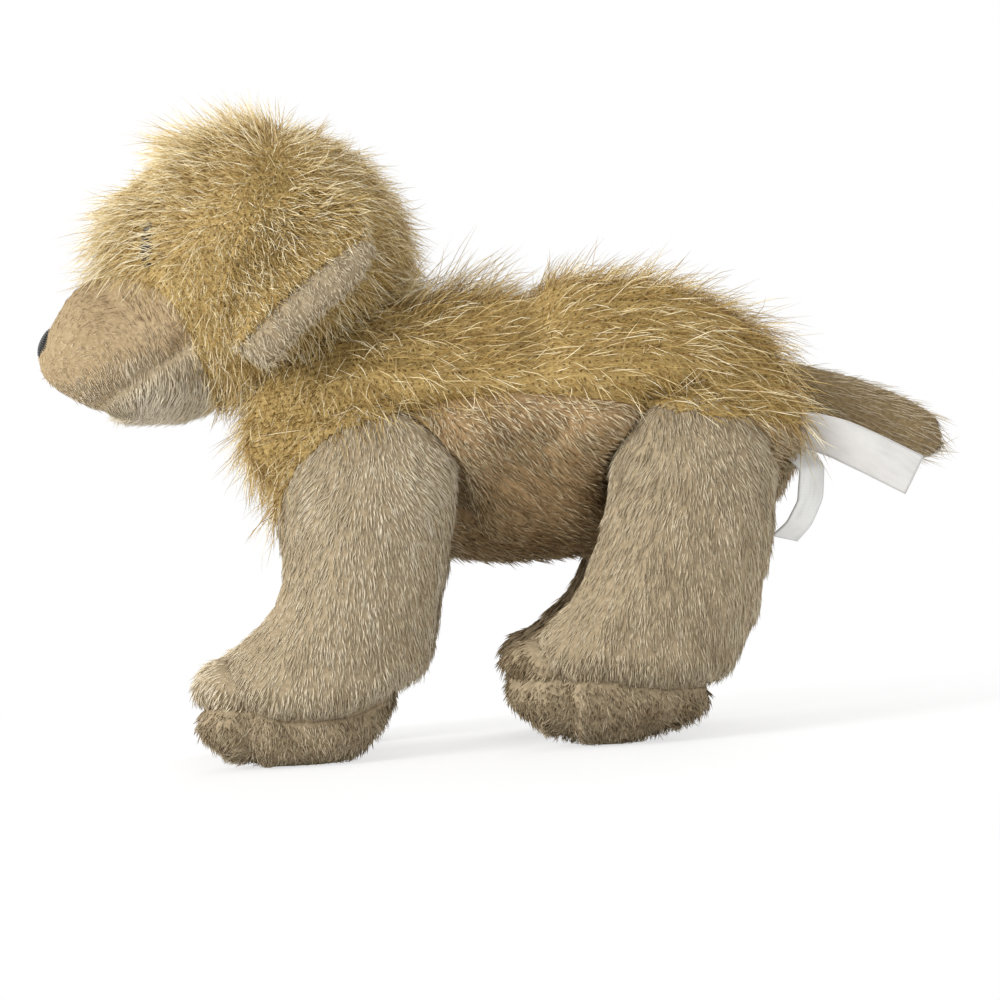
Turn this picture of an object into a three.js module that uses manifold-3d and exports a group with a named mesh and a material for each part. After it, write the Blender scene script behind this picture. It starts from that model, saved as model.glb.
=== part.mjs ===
// A stuffed dog that stands on four feet and faces -X. Millimetres, +Z up.
// The origin is on the floor, under the middle of the toy's box. The toy's left side is at -Y.
// Each stuffed section is a sewn cover over its own block of stuffing.
import * as THREE from "three";
import { mergeVertices } from "three/addons/utils/BufferGeometryUtils.js";
import Module from "manifold-3d";

const wasm = await Module();
wasm.setup();

// Main sizes. The sections and places below are drawn at the pattern's size and graded to these.
const toyLength = 239.5;
const toyWidth = 102.2;
const toyHeight = 166.6;
const patternSize = new THREE.Vector3(239.5, 102.2, 166.6);
const grade = new THREE.Vector3(toyLength, toyWidth, toyHeight).divide(patternSize);

// Sewing sizes
const clothThickness = 2; // cover cloth with its pile pressed down
const sewingGap = 0.3; // between neighbouring pieces
const swingGap = 0.8; // between a limb and the pocket that it swings in
const neckGap = 0.5; // between the neck's ball and the head that rides on it
const treadDepth = 0.5; // how far the soles are pressed flat

// Torso, as oval sections from the chest to the rump
const torsoStations = [
  { x: -65.3, z: 85, deep: 0, wide: 0, lean: 90 },
  { x: -60, z: 85, deep: 15, wide: 16, lean: 90 },
  { x: -47.5, z: 87, deep: 25.5, wide: 27, lean: 90 },
  { x: -29.5, z: 85.5, deep: 32.5, wide: 32, lean: 90 },
  { x: -10, z: 82, deep: 34.5, wide: 32.5, lean: 90 },
  { x: 10, z: 83, deep: 36, wide: 32.5, lean: 90 },
  { x: 31, z: 84.5, deep: 37, wide: 33.5, lean: 90 },
  { x: 52.5, z: 83, deep: 34.5, wide: 32, lean: 90 },
  { x: 70, z: 80.5, deep: 25, wide: 25, lean: 90 },
  { x: 81.5, z: 80, deep: 0, wide: 0, lean: 90 },
];
const torsoRings = 12;
const torsoSides = 14;

// The seam between the shaggy back panel and the plush belly panel, in the side view
const bellySeam = [
  [-52, 58],
  [-54.5, 71],
  [-42, 82],
  [-24, 86],
  [-5.5, 88],
  [12, 88],
  [27.5, 86.5],
  [53, 82],
  [74, 78.5],
  [92, 76],
];
const seamSteps = 2; // straight pieces between two points of a seam

// Neck: the head rides on a ball-shaped end of the torso
const neckTop = new THREE.Vector3(-48.7, 0, 113.87); // the ball's highest point on the neck's axis
const neckRadius = 38;
const neckLean = 33; // degrees of the neck's axis forward of upright
const neckCapRadius = 26; // rim of the ball's cap, outside the head's edge
const gussetRadius = 23.5; // rim of the cloth gusset that turns with the head
const gussetThickness = 1.6;
const neckThreadRadius = 0.45;
const neckThreadRing = 20.5; // radius of the ring of thread that sews the head on
const ballSteps = 12;

// Head, as oval sections from the face to the nape
const headStations = [
  { x: -98, z: 135.5, deep: 0, wide: 0, lean: 86 },
  { x: -92, z: 134, deep: 19, wide: 20, lean: 86 },
  { x: -80.5, z: 131.5, deep: 31, wide: 31, lean: 86 },
  { x: -61.5, z: 131, deep: 36.5, wide: 38, lean: 86 },
  { x: -42.5, z: 130, deep: 32.5, wide: 35, lean: 87 },
  { x: -28, z: 129, deep: 22, wide: 25, lean: 88 },
  { x: -20, z: 128.5, deep: 0, wide: 0, lean: 88 },
];
const headRings = 10;
const headSides = 15;

// Muzzle, from inside the face to the lip
const muzzleStations = [
  { x: -62, z: 113, deep: 0, wide: 0, lean: 86 },
  { x: -71, z: 111.5, deep: 18, wide: 19.5, lean: 86 },
  { x: -84.5, z: 109.5, deep: 19, wide: 21, lean: 86 },
  { x: -95, z: 110, deep: 18.5, wide: 20.5, lean: 86 },
  { x: -105, z: 111, deep: 15.3, wide: 17.5, lean: 85 },
  { x: -113, z: 110.5, deep: 9.5, wide: 12.5, lean: 82 },
  { x: -117.5, z: 109, deep: 4.6, wide: 8, lean: 79 },
  { x: -119.2, z: 108.5, deep: 0, wide: 0, lean: 79 },
];
const muzzleRings = 9;
const muzzleSides = 12;
const mouthCorner = new THREE.Vector3(-79.2, 0, 108.6);
const mouthLean = 28.4; // degrees that the mouth line climbs towards the cheek

// Nose and eyes: domed pads of black satin stitch, set where a line from a middle point meets the cloth
const noseFrom = new THREE.Vector3(-105, 0, 109.5);
const noseLift = 16; // degrees that the line to the nose climbs
const noseHalfSize = new THREE.Vector3(2.4, 6.5, 4); // thick, across, tall
const noseLean = 31; // degrees that the nose looks up
const eyeFrom = new THREE.Vector3(-62, 0, 135);
const eyeTurn = 42; // degrees that each eye looks to its own side
const eyeHalfSize = new THREE.Vector3(2.4, 4, 5.5); // thick, across, tall
const padSteps = 6;

// Ears: a shaggy back and a plush lining on each side, hanging from the head's top. The stations run down the
// right ear's lining, from inside the head to the tip; y is how far each lies from the toy's middle.
const earStations = [
  { x: -40.5, y: 26, z: 150, deep: 0 },
  { x: -42, y: 30.5, z: 144.5, deep: 12.5 },
  { x: -45, y: 35.2, z: 134, deep: 16 },
  { x: -51, y: 38, z: 121, deep: 14 },
  { x: -57.5, y: 38.4, z: 110, deep: 9.5 },
  { x: -61.5, y: 37.4, z: 103.5, deep: 0 },
];
const earRoot = new THREE.Vector3(-42, 0, 145); // the sewn edge, in the side view
const earLean = -15; // degrees that the sewn edge and the flap's width fall towards the nape
const earLayer = 2.2;
const earLiningMargin = 4; // how far the lining shows behind the back layer
const earRings = 8;
const earSides = 8;

// Legs: hip axis, then oval sections from the top of the leg to the toe, at the leg's own middle plane
const legMiddle = 32.5;
const legInnerFace = 16;
const legRings = 11;
const legSides = 10;
const frontLeg = {
  hip: { x: -31, z: 68 },
  topRadius: 22.5,
  forward: 25,
  back: 15,
  stations: [
    { x: -30.5, z: 72, deep: 22.5, wide: 16.5, lean: 178 },
    { x: -33.5, z: 53, deep: 21.2, wide: 17.5, lean: 178 },
    { x: -38, z: 36.5, deep: 21, wide: 18, lean: 158 },
    { x: -47.5, z: 22.3, deep: 22.5, wide: 18.5, lean: 129 },
    { x: -62, z: 16.5, deep: 18, wide: 18, lean: 109 },
    { x: -74, z: 15.8, deep: 13, wide: 14, lean: 102 },
    { x: -81.5, z: 16.5, deep: 0, wide: 0, lean: 100 },
  ],
  soleSeam: [
    [-96, 16],
    [-79, 16],
    [-71, 16.5],
    [-54.5, 11.5],
    [-40, 12],
    [-30, 15.5],
    [-10, 22],
  ],
};
const rearLeg = {
  hip: { x: 50.5, z: 65.5 },
  topRadius: 22.5,
  forward: 15,
  back: 25,
  stations: [
    { x: 50, z: 68, deep: 22.4, wide: 16.5, lean: 177 },
    { x: 47.5, z: 53, deep: 23.2, wide: 17.5, lean: 176 },
    { x: 42, z: 37.5, deep: 24.2, wide: 18, lean: 171 },
    { x: 33, z: 24.3, deep: 24.5, wide: 18.5, lean: 157 },
    { x: 20.5, z: 15.3, deep: 20.3, wide: 18, lean: 141 },
    { x: 8.5, z: 14, deep: 15, wide: 14.5, lean: 124 },
    { x: -2.5, z: 18, deep: 0, wide: 0, lean: 112 },
  ],
  soleSeam: [
    [-18, 19],
    [-1, 18.5],
    [13, 18],
    [24, 17],
    [36, 14],
    [53, 13],
    [75, 15],
  ],
};
const pocketSteps = 7;

// Tail: a flat tube of long-pile plush on a narrow sewn root
const tailRoot = new THREE.Vector3(78.5, 0, 91);
const tailSocketRadius = 10;
const tailLength = 46;
const tailDrop = 27; // degrees that the tail points below level
const tailRings = 9;
const tailSides = 10;

// Labels: two folded ribbons sewn into the seam beside the tail
const labelThickness = 0.8;
// from is a point inside the rump; the sewn edge lies where a level line at the exit angle leaves the cloth.
// turn and drop are degrees that the ribbon is turned to the back and points below level.
const nameLabel = {
  from: new THREE.Vector3(66, -20, 78),
  exit: 0,
  turn: 0,
  drop: 21,
  width: 11,
  length: 36,
  bow: 3,
};
const careLabel = {
  from: new THREE.Vector3(70, -6, 71),
  exit: -40,
  turn: 50,
  drop: 82,
  width: 11,
  length: 23,
  bow: 4,
};
const labelSteps = 8;

const cutterSize = 400; // larger than the toy

const degrees = THREE.MathUtils.degToRad;
const graded = (point) => point.clone().multiply(grade);
const up = new THREE.Vector3(0, 0, 1);

// Materials
const cloth = (color, roughness = 0.9) => new THREE.MeshStandardMaterial({ color, roughness, metalness: 0 });
const shag = cloth(0xcbaa6e, 0.55);
const plush = cloth(0xcdb592);
const lining = cloth(0xc4a987);
const stuffing = cloth(0xf2f0ea, 1);
const thread = cloth(0xb9975c, 0.7);
const blackSatin = cloth(0x15140f, 0.4);
const satinRibbon = cloth(0xf0efec, 0.45);

// Mesh helpers

function asSolid(geometry) {
  const plain = new THREE.BufferGeometry();
  plain.setAttribute("position", geometry.getAttribute("position"));
  plain.setIndex(geometry.index);
  const merged = mergeVertices(plain, 1e-4);
  const solid = new wasm.Manifold(
    new wasm.Mesh({
      numProp: 3,
      vertProperties: merged.attributes.position.array,
      triVerts: new Uint32Array(merged.index.array),
    }),
  );
  return solid;
}

function asGeometry(solid) {
  const mesh = solid.getMesh();
  const geometry = new THREE.BufferGeometry();
  geometry.setAttribute("position", new THREE.BufferAttribute(mesh.vertProperties, 3));
  geometry.setIndex(new THREE.BufferAttribute(mesh.triVerts, 1));
  geometry.computeVertexNormals();
  return geometry;
}

// Moves a closed surface outwards (or inwards, below zero) along its own normals.
function grown(geometry, distance) {
  const moved = geometry.clone();
  moved.computeVertexNormals();
  const place = moved.getAttribute("position");
  const normal = moved.getAttribute("normal");
  for (let i = 0; i < place.count; i += 1) {
    place.setXYZ(
      i,
      place.getX(i) + distance * normal.getX(i),
      place.getY(i) + distance * normal.getY(i),
      place.getZ(i) + distance * normal.getZ(i),
    );
  }
  return moved;
}

// A stuffed form: oval sections on a smooth spine, rounded off at both ends.
// deep is a section's half size in the side view, along lean; wide is its half size across the toy.
function stuffedForm(stations, rings, sides, middle = 0) {
  const spine = new THREE.CatmullRomCurve3(
    stations.map((s) => new THREE.Vector3(s.x, s.y ?? middle, s.z)),
  );
  const girth = new THREE.CatmullRomCurve3(
    stations.map((s) => new THREE.Vector3(s.deep ** 2, s.wide ** 2, s.lean)),
  );
  const points = [...graded(spine.getPoint(0)).toArray()];
  for (let ring = 1; ring < rings; ring += 1) {
    const along = (1 - Math.cos((Math.PI * ring) / rings)) / 2; // closer rings at the round ends
    const centre = graded(spine.getPoint(along));
    const size = girth.getPoint(along);
    const deep = Math.sqrt(Math.max(size.x, 0.1));
    const wide = Math.sqrt(Math.max(size.y, 0.1));
    for (let side = 0; side < sides; side += 1) {
      const turn = (2 * Math.PI * (side + 0.5)) / sides; // a flat facet faces down
      const out = deep * Math.cos(turn);
      points.push(
        centre.x + grade.x * out * Math.cos(degrees(size.z)),
        centre.y + grade.y * wide * Math.sin(turn),
        centre.z + grade.z * out * Math.sin(degrees(size.z)),
      );
    }
  }
  points.push(...graded(spine.getPoint(1)).toArray());
  return closedTube(points, rings - 1, sides);
}

// Faces of a tube of rings between two end points, turned to face outwards.
function closedTube(points, rings, sides) {
  const faces = [];
  const last = points.length / 3 - 1;
  const at = (ring, side) => 1 + ring * sides + (side % sides);
  for (let side = 0; side < sides; side += 1) {
    faces.push([0, at(0, side), at(0, side + 1)]);
    for (let ring = 0; ring < rings - 1; ring += 1) {
      faces.push([at(ring, side), at(ring + 1, side), at(ring + 1, side + 1)]);
      faces.push([at(ring, side), at(ring + 1, side + 1), at(ring, side + 1)]);
    }
    faces.push([at(rings - 1, side), last, at(rings - 1, side + 1)]);
  }
  const geometry = new THREE.BufferGeometry();
  geometry.setAttribute("position", new THREE.Float32BufferAttribute(points, 3));
  geometry.setIndex(faces.flat());
  const inward = asSolid(geometry).volume() < 0;
  if (inward) {
    geometry.setIndex(faces.flatMap(([a, b, c]) => [a, c, b]));
  }
  return geometry;
}

function ball(centre, radius, pole = up) {
  const geometry = new THREE.SphereGeometry(radius, 2 * ballSteps, ballSteps).rotateX(Math.PI / 2);
  geometry.applyQuaternion(new THREE.Quaternion().setFromUnitVectors(up, pole));
  return asSolid(geometry.translate(centre.x, centre.y, centre.z));
}

// Everything on the side of a plane that its normal points to
function beyond(point, normal) {
  const block = new THREE.BoxGeometry(cutterSize, cutterSize, cutterSize);
  block.translate(0, 0, cutterSize / 2);
  block.applyQuaternion(new THREE.Quaternion().setFromUnitVectors(up, normal.clone().normalize()));
  return asSolid(block.translate(point.x, point.y, point.z));
}

// A side-view outline (x, z) carried across the toy from one y to another
function acrossToy(outline, fromY, toY, steps) {
  const block = new THREE.ExtrudeGeometry(outline, {
    depth: toY - fromY,
    bevelEnabled: false,
    curveSegments: steps,
  });
  block.translate(0, 0, -toY);
  return asSolid(block.rotateX(Math.PI / 2));
}

// A pad with an oval face, domed on both sides, turned about the toy's side-to-side and upright axes
function ovalPad(centre, halfSize, lookUp, lookAside) {
  const pad = new THREE.SphereGeometry(1, 2 * padSteps, padSteps);
  pad.scale(halfSize.x, halfSize.y, halfSize.z);
  pad.rotateY(degrees(lookUp)).rotateZ(degrees(lookAside));
  return asSolid(pad.translate(centre.x, centre.y, centre.z));
}

// Where a line from inside a form meets its surface; a line from outside it stays at its start
function onSurface(form, from, direction) {
  const target = new THREE.Mesh(form, new THREE.MeshBasicMaterial({ side: THREE.DoubleSide }));
  const [hit] = new THREE.Raycaster(from, direction).intersectObject(target);
  return hit ? hit.point : from;
}

// Everything below a seam that runs across the whole toy
function belowSeam(seam) {
  const [first, ...rest] = seam.map(([x, z]) => new THREE.Vector2(grade.x * x, grade.z * z));
  const outline = new THREE.Shape();
  outline.moveTo(first.x, -cutterSize / 4);
  outline.lineTo(first.x, first.y);
  outline.splineThru(rest);
  outline.lineTo(rest.at(-1).x, -cutterSize / 4);
  return acrossToy(outline, -cutterSize / 4, cutterSize / 4, seamSteps);
}

const toy = new THREE.Group();

function addPiece(name, solid, material) {
  const mesh = new THREE.Mesh(asGeometry(solid), material.clone());
  mesh.name = name;
  toy.add(mesh);
}

// Torso

// The space that a leg swings through: round over the hip, opening out below it by the leg's swing
function legPocket(leg, side, extra) {
  const radius = leg.topRadius + swingGap + extra;
  const reach = cutterSize / 4;
  const front = Math.PI - degrees(leg.forward);
  const rear = degrees(leg.back);
  const { x, z } = leg.hip;
  const outline = new THREE.Shape();
  outline.moveTo(
    x + radius * Math.cos(front) - reach * Math.sin(degrees(leg.forward)),
    z + radius * Math.sin(front) - reach * Math.cos(degrees(leg.forward)),
  );
  outline.lineTo(x + radius * Math.cos(front), z + radius * Math.sin(front));
  outline.absarc(x, z, radius, front, rear, true);
  outline.lineTo(
    x + radius * Math.cos(rear) + reach * Math.sin(rear),
    z + radius * Math.sin(rear) - reach * Math.cos(rear),
  );
  const inner = grade.y * legInnerFace - sewingGap - extra;
  const outer = cutterSize / 2;
  const pocket =
    side < 0
      ? acrossToy(outline, -outer, -inner, pocketSteps)
      : acrossToy(outline, inner, outer, pocketSteps);
  return pocket.scale([grade.x, 1, grade.z]);
}

const neckAxis = new THREE.Vector3(-Math.sin(degrees(neckLean)), 0, Math.cos(degrees(neckLean)));

const neckCentre = graded(neckTop).addScaledVector(neckAxis, -neckRadius);

const neckBall = (radius) => ball(neckCentre, radius, neckAxis);

// The part of the neck ball above the circle of the given rim radius
function neckCap(radius, rim, lift) {
  const height = Math.sqrt(neckRadius ** 2 - rim ** 2) + lift;
  const rimPlane = neckCentre.clone().addScaledVector(neckAxis, height);
  return neckBall(radius).intersect(beyond(rimPlane, neckAxis));
}

// The ring of thread lies in a groove in the gusset.
function neckThread(extra) {
  const ringReach = neckRadius - neckThreadRadius;
  const ringHeight = Math.sqrt(ringReach ** 2 - neckThreadRing ** 2);
  const ring = new THREE.TorusGeometry(neckThreadRing, neckThreadRadius + extra, 6, 2 * ballSteps);
  ring.applyQuaternion(new THREE.Quaternion().setFromUnitVectors(up, neckAxis));
  const place = neckCentre.clone().addScaledVector(neckAxis, ringHeight);
  return asSolid(ring.translate(place.x, place.y, place.z));
}

const torsoForm = stuffedForm(torsoStations, torsoRings, torsoSides);
const headForm = stuffedForm(headStations, headRings, headSides);

// The torso's solid, drawn in by inset: 0 is the outer skin
function torsoSolid(inset) {
  const underHead = asSolid(grown(headForm, sewingGap + inset)).subtract(neckBall(neckRadius - inset));
  let torso = asSolid(grown(torsoForm, -inset)).subtract(underHead);
  torso = torso.add(neckCap(neckRadius - inset, neckCapRadius, inset));
  for (const leg of [frontLeg, rearLeg]) {
    for (const side of [-1, 1]) {
      torso = torso.subtract(legPocket(leg, side, inset));
    }
  }
  return torso;
}

function makeTorso() {
  const skin = torsoSolid(0);
  const hollow = torsoSolid(clothThickness);
  const fill = torsoSolid(clothThickness + sewingGap);
  const socket = ball(tailRoot, tailSocketRadius).scale([grade.x, grade.y, grade.z]);
  const underGusset = neckBall(neckRadius - clothThickness - sewingGap);
  const neckHole = neckCap(neckRadius + clothThickness, gussetRadius, -sewingGap).subtract(underGusset);
  const cover = skin.subtract(hollow).subtract(socket).subtract(neckHole);
  const below = belowSeam(bellySeam);
  const back = cover.subtract(below.translate([-sewingGap, 0, sewingGap]));
  addPiece("back_panel", back, shag);
  addPiece("belly_panel", cover.intersect(below), plush);
  addPiece("torso_stuffing", fill.subtract(socket).subtract(neckHole), stuffing);
}

function makeNeck() {
  const gusset = neckCap(neckRadius, gussetRadius, 0).subtract(neckBall(neckRadius - gussetThickness));
  addPiece("neck_gusset", gusset.subtract(neckThread(sewingGap)), plush);
  addPiece("neck_seam_thread", neckThread(0), thread);
}

// Head

const muzzleForm = stuffedForm(muzzleStations, muzzleRings, muzzleSides);
const headClearance = asSolid(grown(headForm, sewingGap));
const muzzleClearance = asSolid(grown(muzzleForm, sewingGap));
const neckSocket = neckBall(neckRadius + neckGap);

function makeHead() {
  const cover = asSolid(headForm).subtract(asSolid(grown(headForm, -clothThickness)));
  const fill = asSolid(grown(headForm, -clothThickness - sewingGap));
  addPiece("head_cover", cover.subtract(neckSocket), shag);
  addPiece("head_stuffing", fill.subtract(neckSocket), stuffing);
}

function makeMuzzle() {
  const hollow = asSolid(grown(muzzleForm, -clothThickness));
  const cover = asSolid(muzzleForm).subtract(hollow).subtract(headClearance);
  const fill = asSolid(grown(muzzleForm, -clothThickness - sewingGap)).subtract(headClearance);
  const chinSide = new THREE.Vector3(Math.sin(degrees(mouthLean)), 0, -Math.cos(degrees(mouthLean)));
  const corner = graded(mouthCorner);
  const lipEdge = corner.clone().addScaledVector(chinSide, -sewingGap);
  addPiece("muzzle_cover", cover.subtract(beyond(lipEdge, chinSide)), plush);
  addPiece("chin_panel", cover.intersect(beyond(corner, chinSide)), plush);
  addPiece("muzzle_stuffing", fill, stuffing);
}

function makeFace() {
  const toNose = new THREE.Vector3(-Math.cos(degrees(noseLift)), 0, Math.sin(degrees(noseLift)));
  const nose = ovalPad(onSurface(muzzleForm, graded(noseFrom), toNose), noseHalfSize, noseLean, 0);
  addPiece("nose", nose.subtract(muzzleClearance), blackSatin);
  for (const [name, side] of [["left_eye", -1], ["right_eye", 1]]) {
    const toEye = new THREE.Vector3(-Math.cos(degrees(eyeTurn)), side * Math.sin(degrees(eyeTurn)), 0);
    const eye = ovalPad(onSurface(headForm, graded(eyeFrom), toEye), eyeHalfSize, 0, -side * eyeTurn);
    addPiece(name, eye.subtract(headClearance).subtract(muzzleClearance), blackSatin);
  }
}

// Ears

// One layer of an ear, as a thin leaf. margin widens it towards the nape.
function earLeaf(side, margin, outward) {
  const shift = margin / 2;
  const stations = earStations.map((s) => ({
    x: s.x + shift * Math.cos(degrees(earLean)),
    y: side * (s.y + outward),
    z: s.z + shift * Math.sin(degrees(earLean)),
    deep: s.deep > 0 ? s.deep + shift : 0,
    wide: s.deep > 0 ? earLayer / 2 : 0,
    lean: earLean,
  }));
  const aboveRoot = new THREE.Vector3(-Math.sin(degrees(earLean)), 0, Math.cos(degrees(earLean)));
  return asSolid(stuffedForm(stations, earRings, earSides)).subtract(beyond(graded(earRoot), aboveRoot));
}

function makeEars() {
  for (const [name, side] of [["left", -1], ["right", 1]]) {
    const liningLayer = earLeaf(side, earLiningMargin, 0);
    const backLayer = earLeaf(side, 0, earLayer + sewingGap);
    addPiece(`${name}_ear_lining`, liningLayer.subtract(headClearance), lining);
    addPiece(`${name}_ear_back`, backLayer.subtract(headClearance), shag);
  }
}

// Legs

// The leg's rounded top above its first section, as part of a circle about the hip
function legStations(leg) {
  const first = leg.stations[0];
  const rise = [1, 0.86, 0.5];
  const crown = rise.map((share) => {
    const spread = Math.sqrt(1 - share ** 2);
    return {
      x: leg.hip.x,
      z: leg.hip.z + share * leg.topRadius,
      deep: spread * leg.topRadius,
      wide: spread * first.wide,
      lean: first.lean,
    };
  });
  return [...crown, ...leg.stations];
}

// Stretches a leg below its hip until its sole is pressed into the floor by the tread's depth
function setDown(form, hipHeight) {
  form.computeBoundingBox();
  const stretch = (hipHeight + treadDepth) / (hipHeight - form.boundingBox.min.z);
  const place = form.getAttribute("position");
  for (let i = 0; i < place.count; i += 1) {
    const drop = Math.max(hipHeight - place.getZ(i), 0);
    place.setZ(i, place.getZ(i) + (1 - stretch) * drop);
  }
  return form;
}

function makeLeg(name, leg, side) {
  const inPattern = stuffedForm(legStations(leg), legRings, legSides, side * legMiddle);
  const form = setDown(inPattern, grade.z * leg.hip.z);
  const middle = grade.y * legMiddle;
  const innerFace = grade.y * legInnerFace;
  const hipSide = new THREE.Vector3(0, side, 0);
  const trimmed = (inset) =>
    asSolid(grown(form, -inset))
      .intersect(beyond(new THREE.Vector3(0, side * (innerFace + inset), 0), hipSide))
      .intersect(beyond(new THREE.Vector3(0, 0, inset), up));
  const cover = trimmed(0).subtract(trimmed(clothThickness));
  const below = belowSeam(leg.soleSeam);
  const above = cover.subtract(below.translate([0, 0, sewingGap]));
  const outer = beyond(new THREE.Vector3(0, side * (middle + sewingGap), 0), hipSide);
  const notInner = beyond(new THREE.Vector3(0, side * middle, 0), hipSide);
  addPiece(`${name}_leg_outer`, above.intersect(outer), plush);
  addPiece(`${name}_leg_inner`, above.subtract(notInner), plush);
  addPiece(`${name}_foot_sole`, cover.intersect(below), plush);
  addPiece(`${name}_leg_stuffing`, trimmed(clothThickness + sewingGap), stuffing);
}

function makeLegs() {
  makeLeg("left_front", frontLeg, -1);
  makeLeg("right_front", frontLeg, 1);
  makeLeg("left_rear", rearLeg, -1);
  makeLeg("right_rear", rearLeg, 1);
}

// Tail

function makeTail() {
  const along = new THREE.Vector3(Math.cos(degrees(tailDrop)), 0, -Math.sin(degrees(tailDrop)));
  const stem = tailSocketRadius - sewingGap;
  const sections = [
    [-stem, 0, 0],
    [-stem / 2, 5.5, 5],
    [0, 6.2, 5.4],
    [tailLength * 0.2, 7.2, 6],
    [tailLength * 0.45, 9.2, 7.2],
    [tailLength * 0.8, 9, 7],
    [tailLength, 0, 0],
  ];
  const stations = sections.map(([distance, deep, wide]) => {
    const centre = tailRoot.clone().addScaledVector(along, distance);
    return { x: centre.x, z: centre.z, deep, wide, lean: 90 - tailDrop };
  });
  addPiece("tail", asSolid(stuffedForm(stations, tailRings, tailSides)), plush);
}

// Labels

// A ribbon that starts where its whole sewn edge is clear of the rump, bowed out from it
function ribbon(label) {
  const { from, exit, turn, drop, width, length, bow } = label;
  const hang = new THREE.Euler(0, degrees(drop), degrees(turn), "ZYX");
  const across = up.clone().applyEuler(hang);
  const outward = new THREE.Vector3(Math.cos(degrees(exit)), Math.sin(degrees(exit)), 0);
  const inside = graded(from);
  const exits = [-0.5, -0.25, 0, 0.25, 0.5].map((share) => {
    const start = inside.clone().addScaledVector(across, share * width);
    return onSurface(torsoForm, start, outward).distanceTo(start);
  });
  const root = inside.clone().addScaledVector(outward, Math.max(...exits) + sewingGap);
  const outline = new THREE.Shape();
  outline.moveTo(0, -labelThickness);
  outline.quadraticCurveTo(length / 2, -labelThickness - 2 * bow, length, -labelThickness);
  outline.lineTo(length, 0);
  outline.quadraticCurveTo(length / 2, -2 * bow, 0, 0);
  const strip = new THREE.ExtrudeGeometry(outline, {
    depth: width,
    bevelEnabled: false,
    curveSegments: labelSteps,
  });
  strip.translate(0, 0, -width / 2);
  strip.applyQuaternion(new THREE.Quaternion().setFromEuler(hang));
  return asSolid(strip.translate(root.x, root.y, root.z));
}

function makeLabels() {
  addPiece("name_label", ribbon(nameLabel), satinRibbon);
  addPiece("care_label", ribbon(careLabel), satinRibbon);
}

makeTorso();
makeNeck();
makeHead();
makeMuzzle();
makeFace();
makeEars();
makeLegs();
makeTail();
makeLabels();

export default toy;
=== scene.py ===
import math

import bmesh
import bpy
import numpy as np
from mathutils import Matrix, Vector, noise
from mathutils.bvhtree import BVHTree


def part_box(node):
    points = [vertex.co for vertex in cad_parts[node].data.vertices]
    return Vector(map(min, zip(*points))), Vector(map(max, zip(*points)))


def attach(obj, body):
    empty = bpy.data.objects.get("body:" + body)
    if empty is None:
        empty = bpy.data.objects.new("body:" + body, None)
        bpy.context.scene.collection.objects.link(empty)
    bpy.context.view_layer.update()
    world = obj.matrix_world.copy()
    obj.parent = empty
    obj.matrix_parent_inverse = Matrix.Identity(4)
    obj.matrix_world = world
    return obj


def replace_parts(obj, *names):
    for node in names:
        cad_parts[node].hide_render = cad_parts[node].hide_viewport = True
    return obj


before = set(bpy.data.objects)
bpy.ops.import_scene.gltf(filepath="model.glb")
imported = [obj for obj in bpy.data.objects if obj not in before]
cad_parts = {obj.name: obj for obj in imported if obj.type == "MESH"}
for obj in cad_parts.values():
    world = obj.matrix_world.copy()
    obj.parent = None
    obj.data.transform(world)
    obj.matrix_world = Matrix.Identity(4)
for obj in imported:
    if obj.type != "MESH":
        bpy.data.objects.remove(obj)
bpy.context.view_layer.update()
scene = bpy.context.scene
mm = 0.001
print("frame loaded:", len(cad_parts), "nodes")


# Camera: level with the toy's left side, rolled as the toy leans in the picture
cameraPlan = {"eye": (0.4, -800.0, 63.9), "lens": 108.3, "roll": 3.81}


def placeCamera(plan):
    data = bpy.data.cameras.new("side_camera")
    data.sensor_width = 36
    data.lens = plan["lens"]
    camera = bpy.data.objects.new("side_camera", data)
    scene.collection.objects.link(camera)
    lean = math.radians(plan["roll"])
    right = Vector((math.cos(lean), 0, -math.sin(lean)))
    upward = Vector((math.sin(lean), 0, math.cos(lean)))
    matrix = Matrix((right, upward, right.cross(upward))).transposed().to_4x4()
    matrix.translation = Vector(plan["eye"]) * mm
    camera.matrix_world = matrix
    scene.camera = camera


placeCamera(cameraPlan)


# Node helpers, for materials and for geometry trees alike

def isVector(value):
    if isinstance(value, Wire):
        return value.socket.type in {"VECTOR", "RGBA"}
    return isinstance(value, (tuple, list, Vector))


def pickSocket(sockets, key):
    if isinstance(key, int):
        return sockets[key]
    named = [s for s in sockets if s.name == key]
    live = [s for s in named if s.enabled and not s.is_unavailable]
    return (live or named)[0]


def sumOf(operation, out=0, swapped=False):  # a method that adds one Math node
    def apply(self, *others):
        values = (*others, self) if swapped else (self, *others)
        kind = "ShaderNodeVectorMath" if any(map(isVector, values)) else "ShaderNodeMath"
        return self.bench.node(kind, {"operation": operation}, dict(enumerate(values)), out)

    return apply


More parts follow.
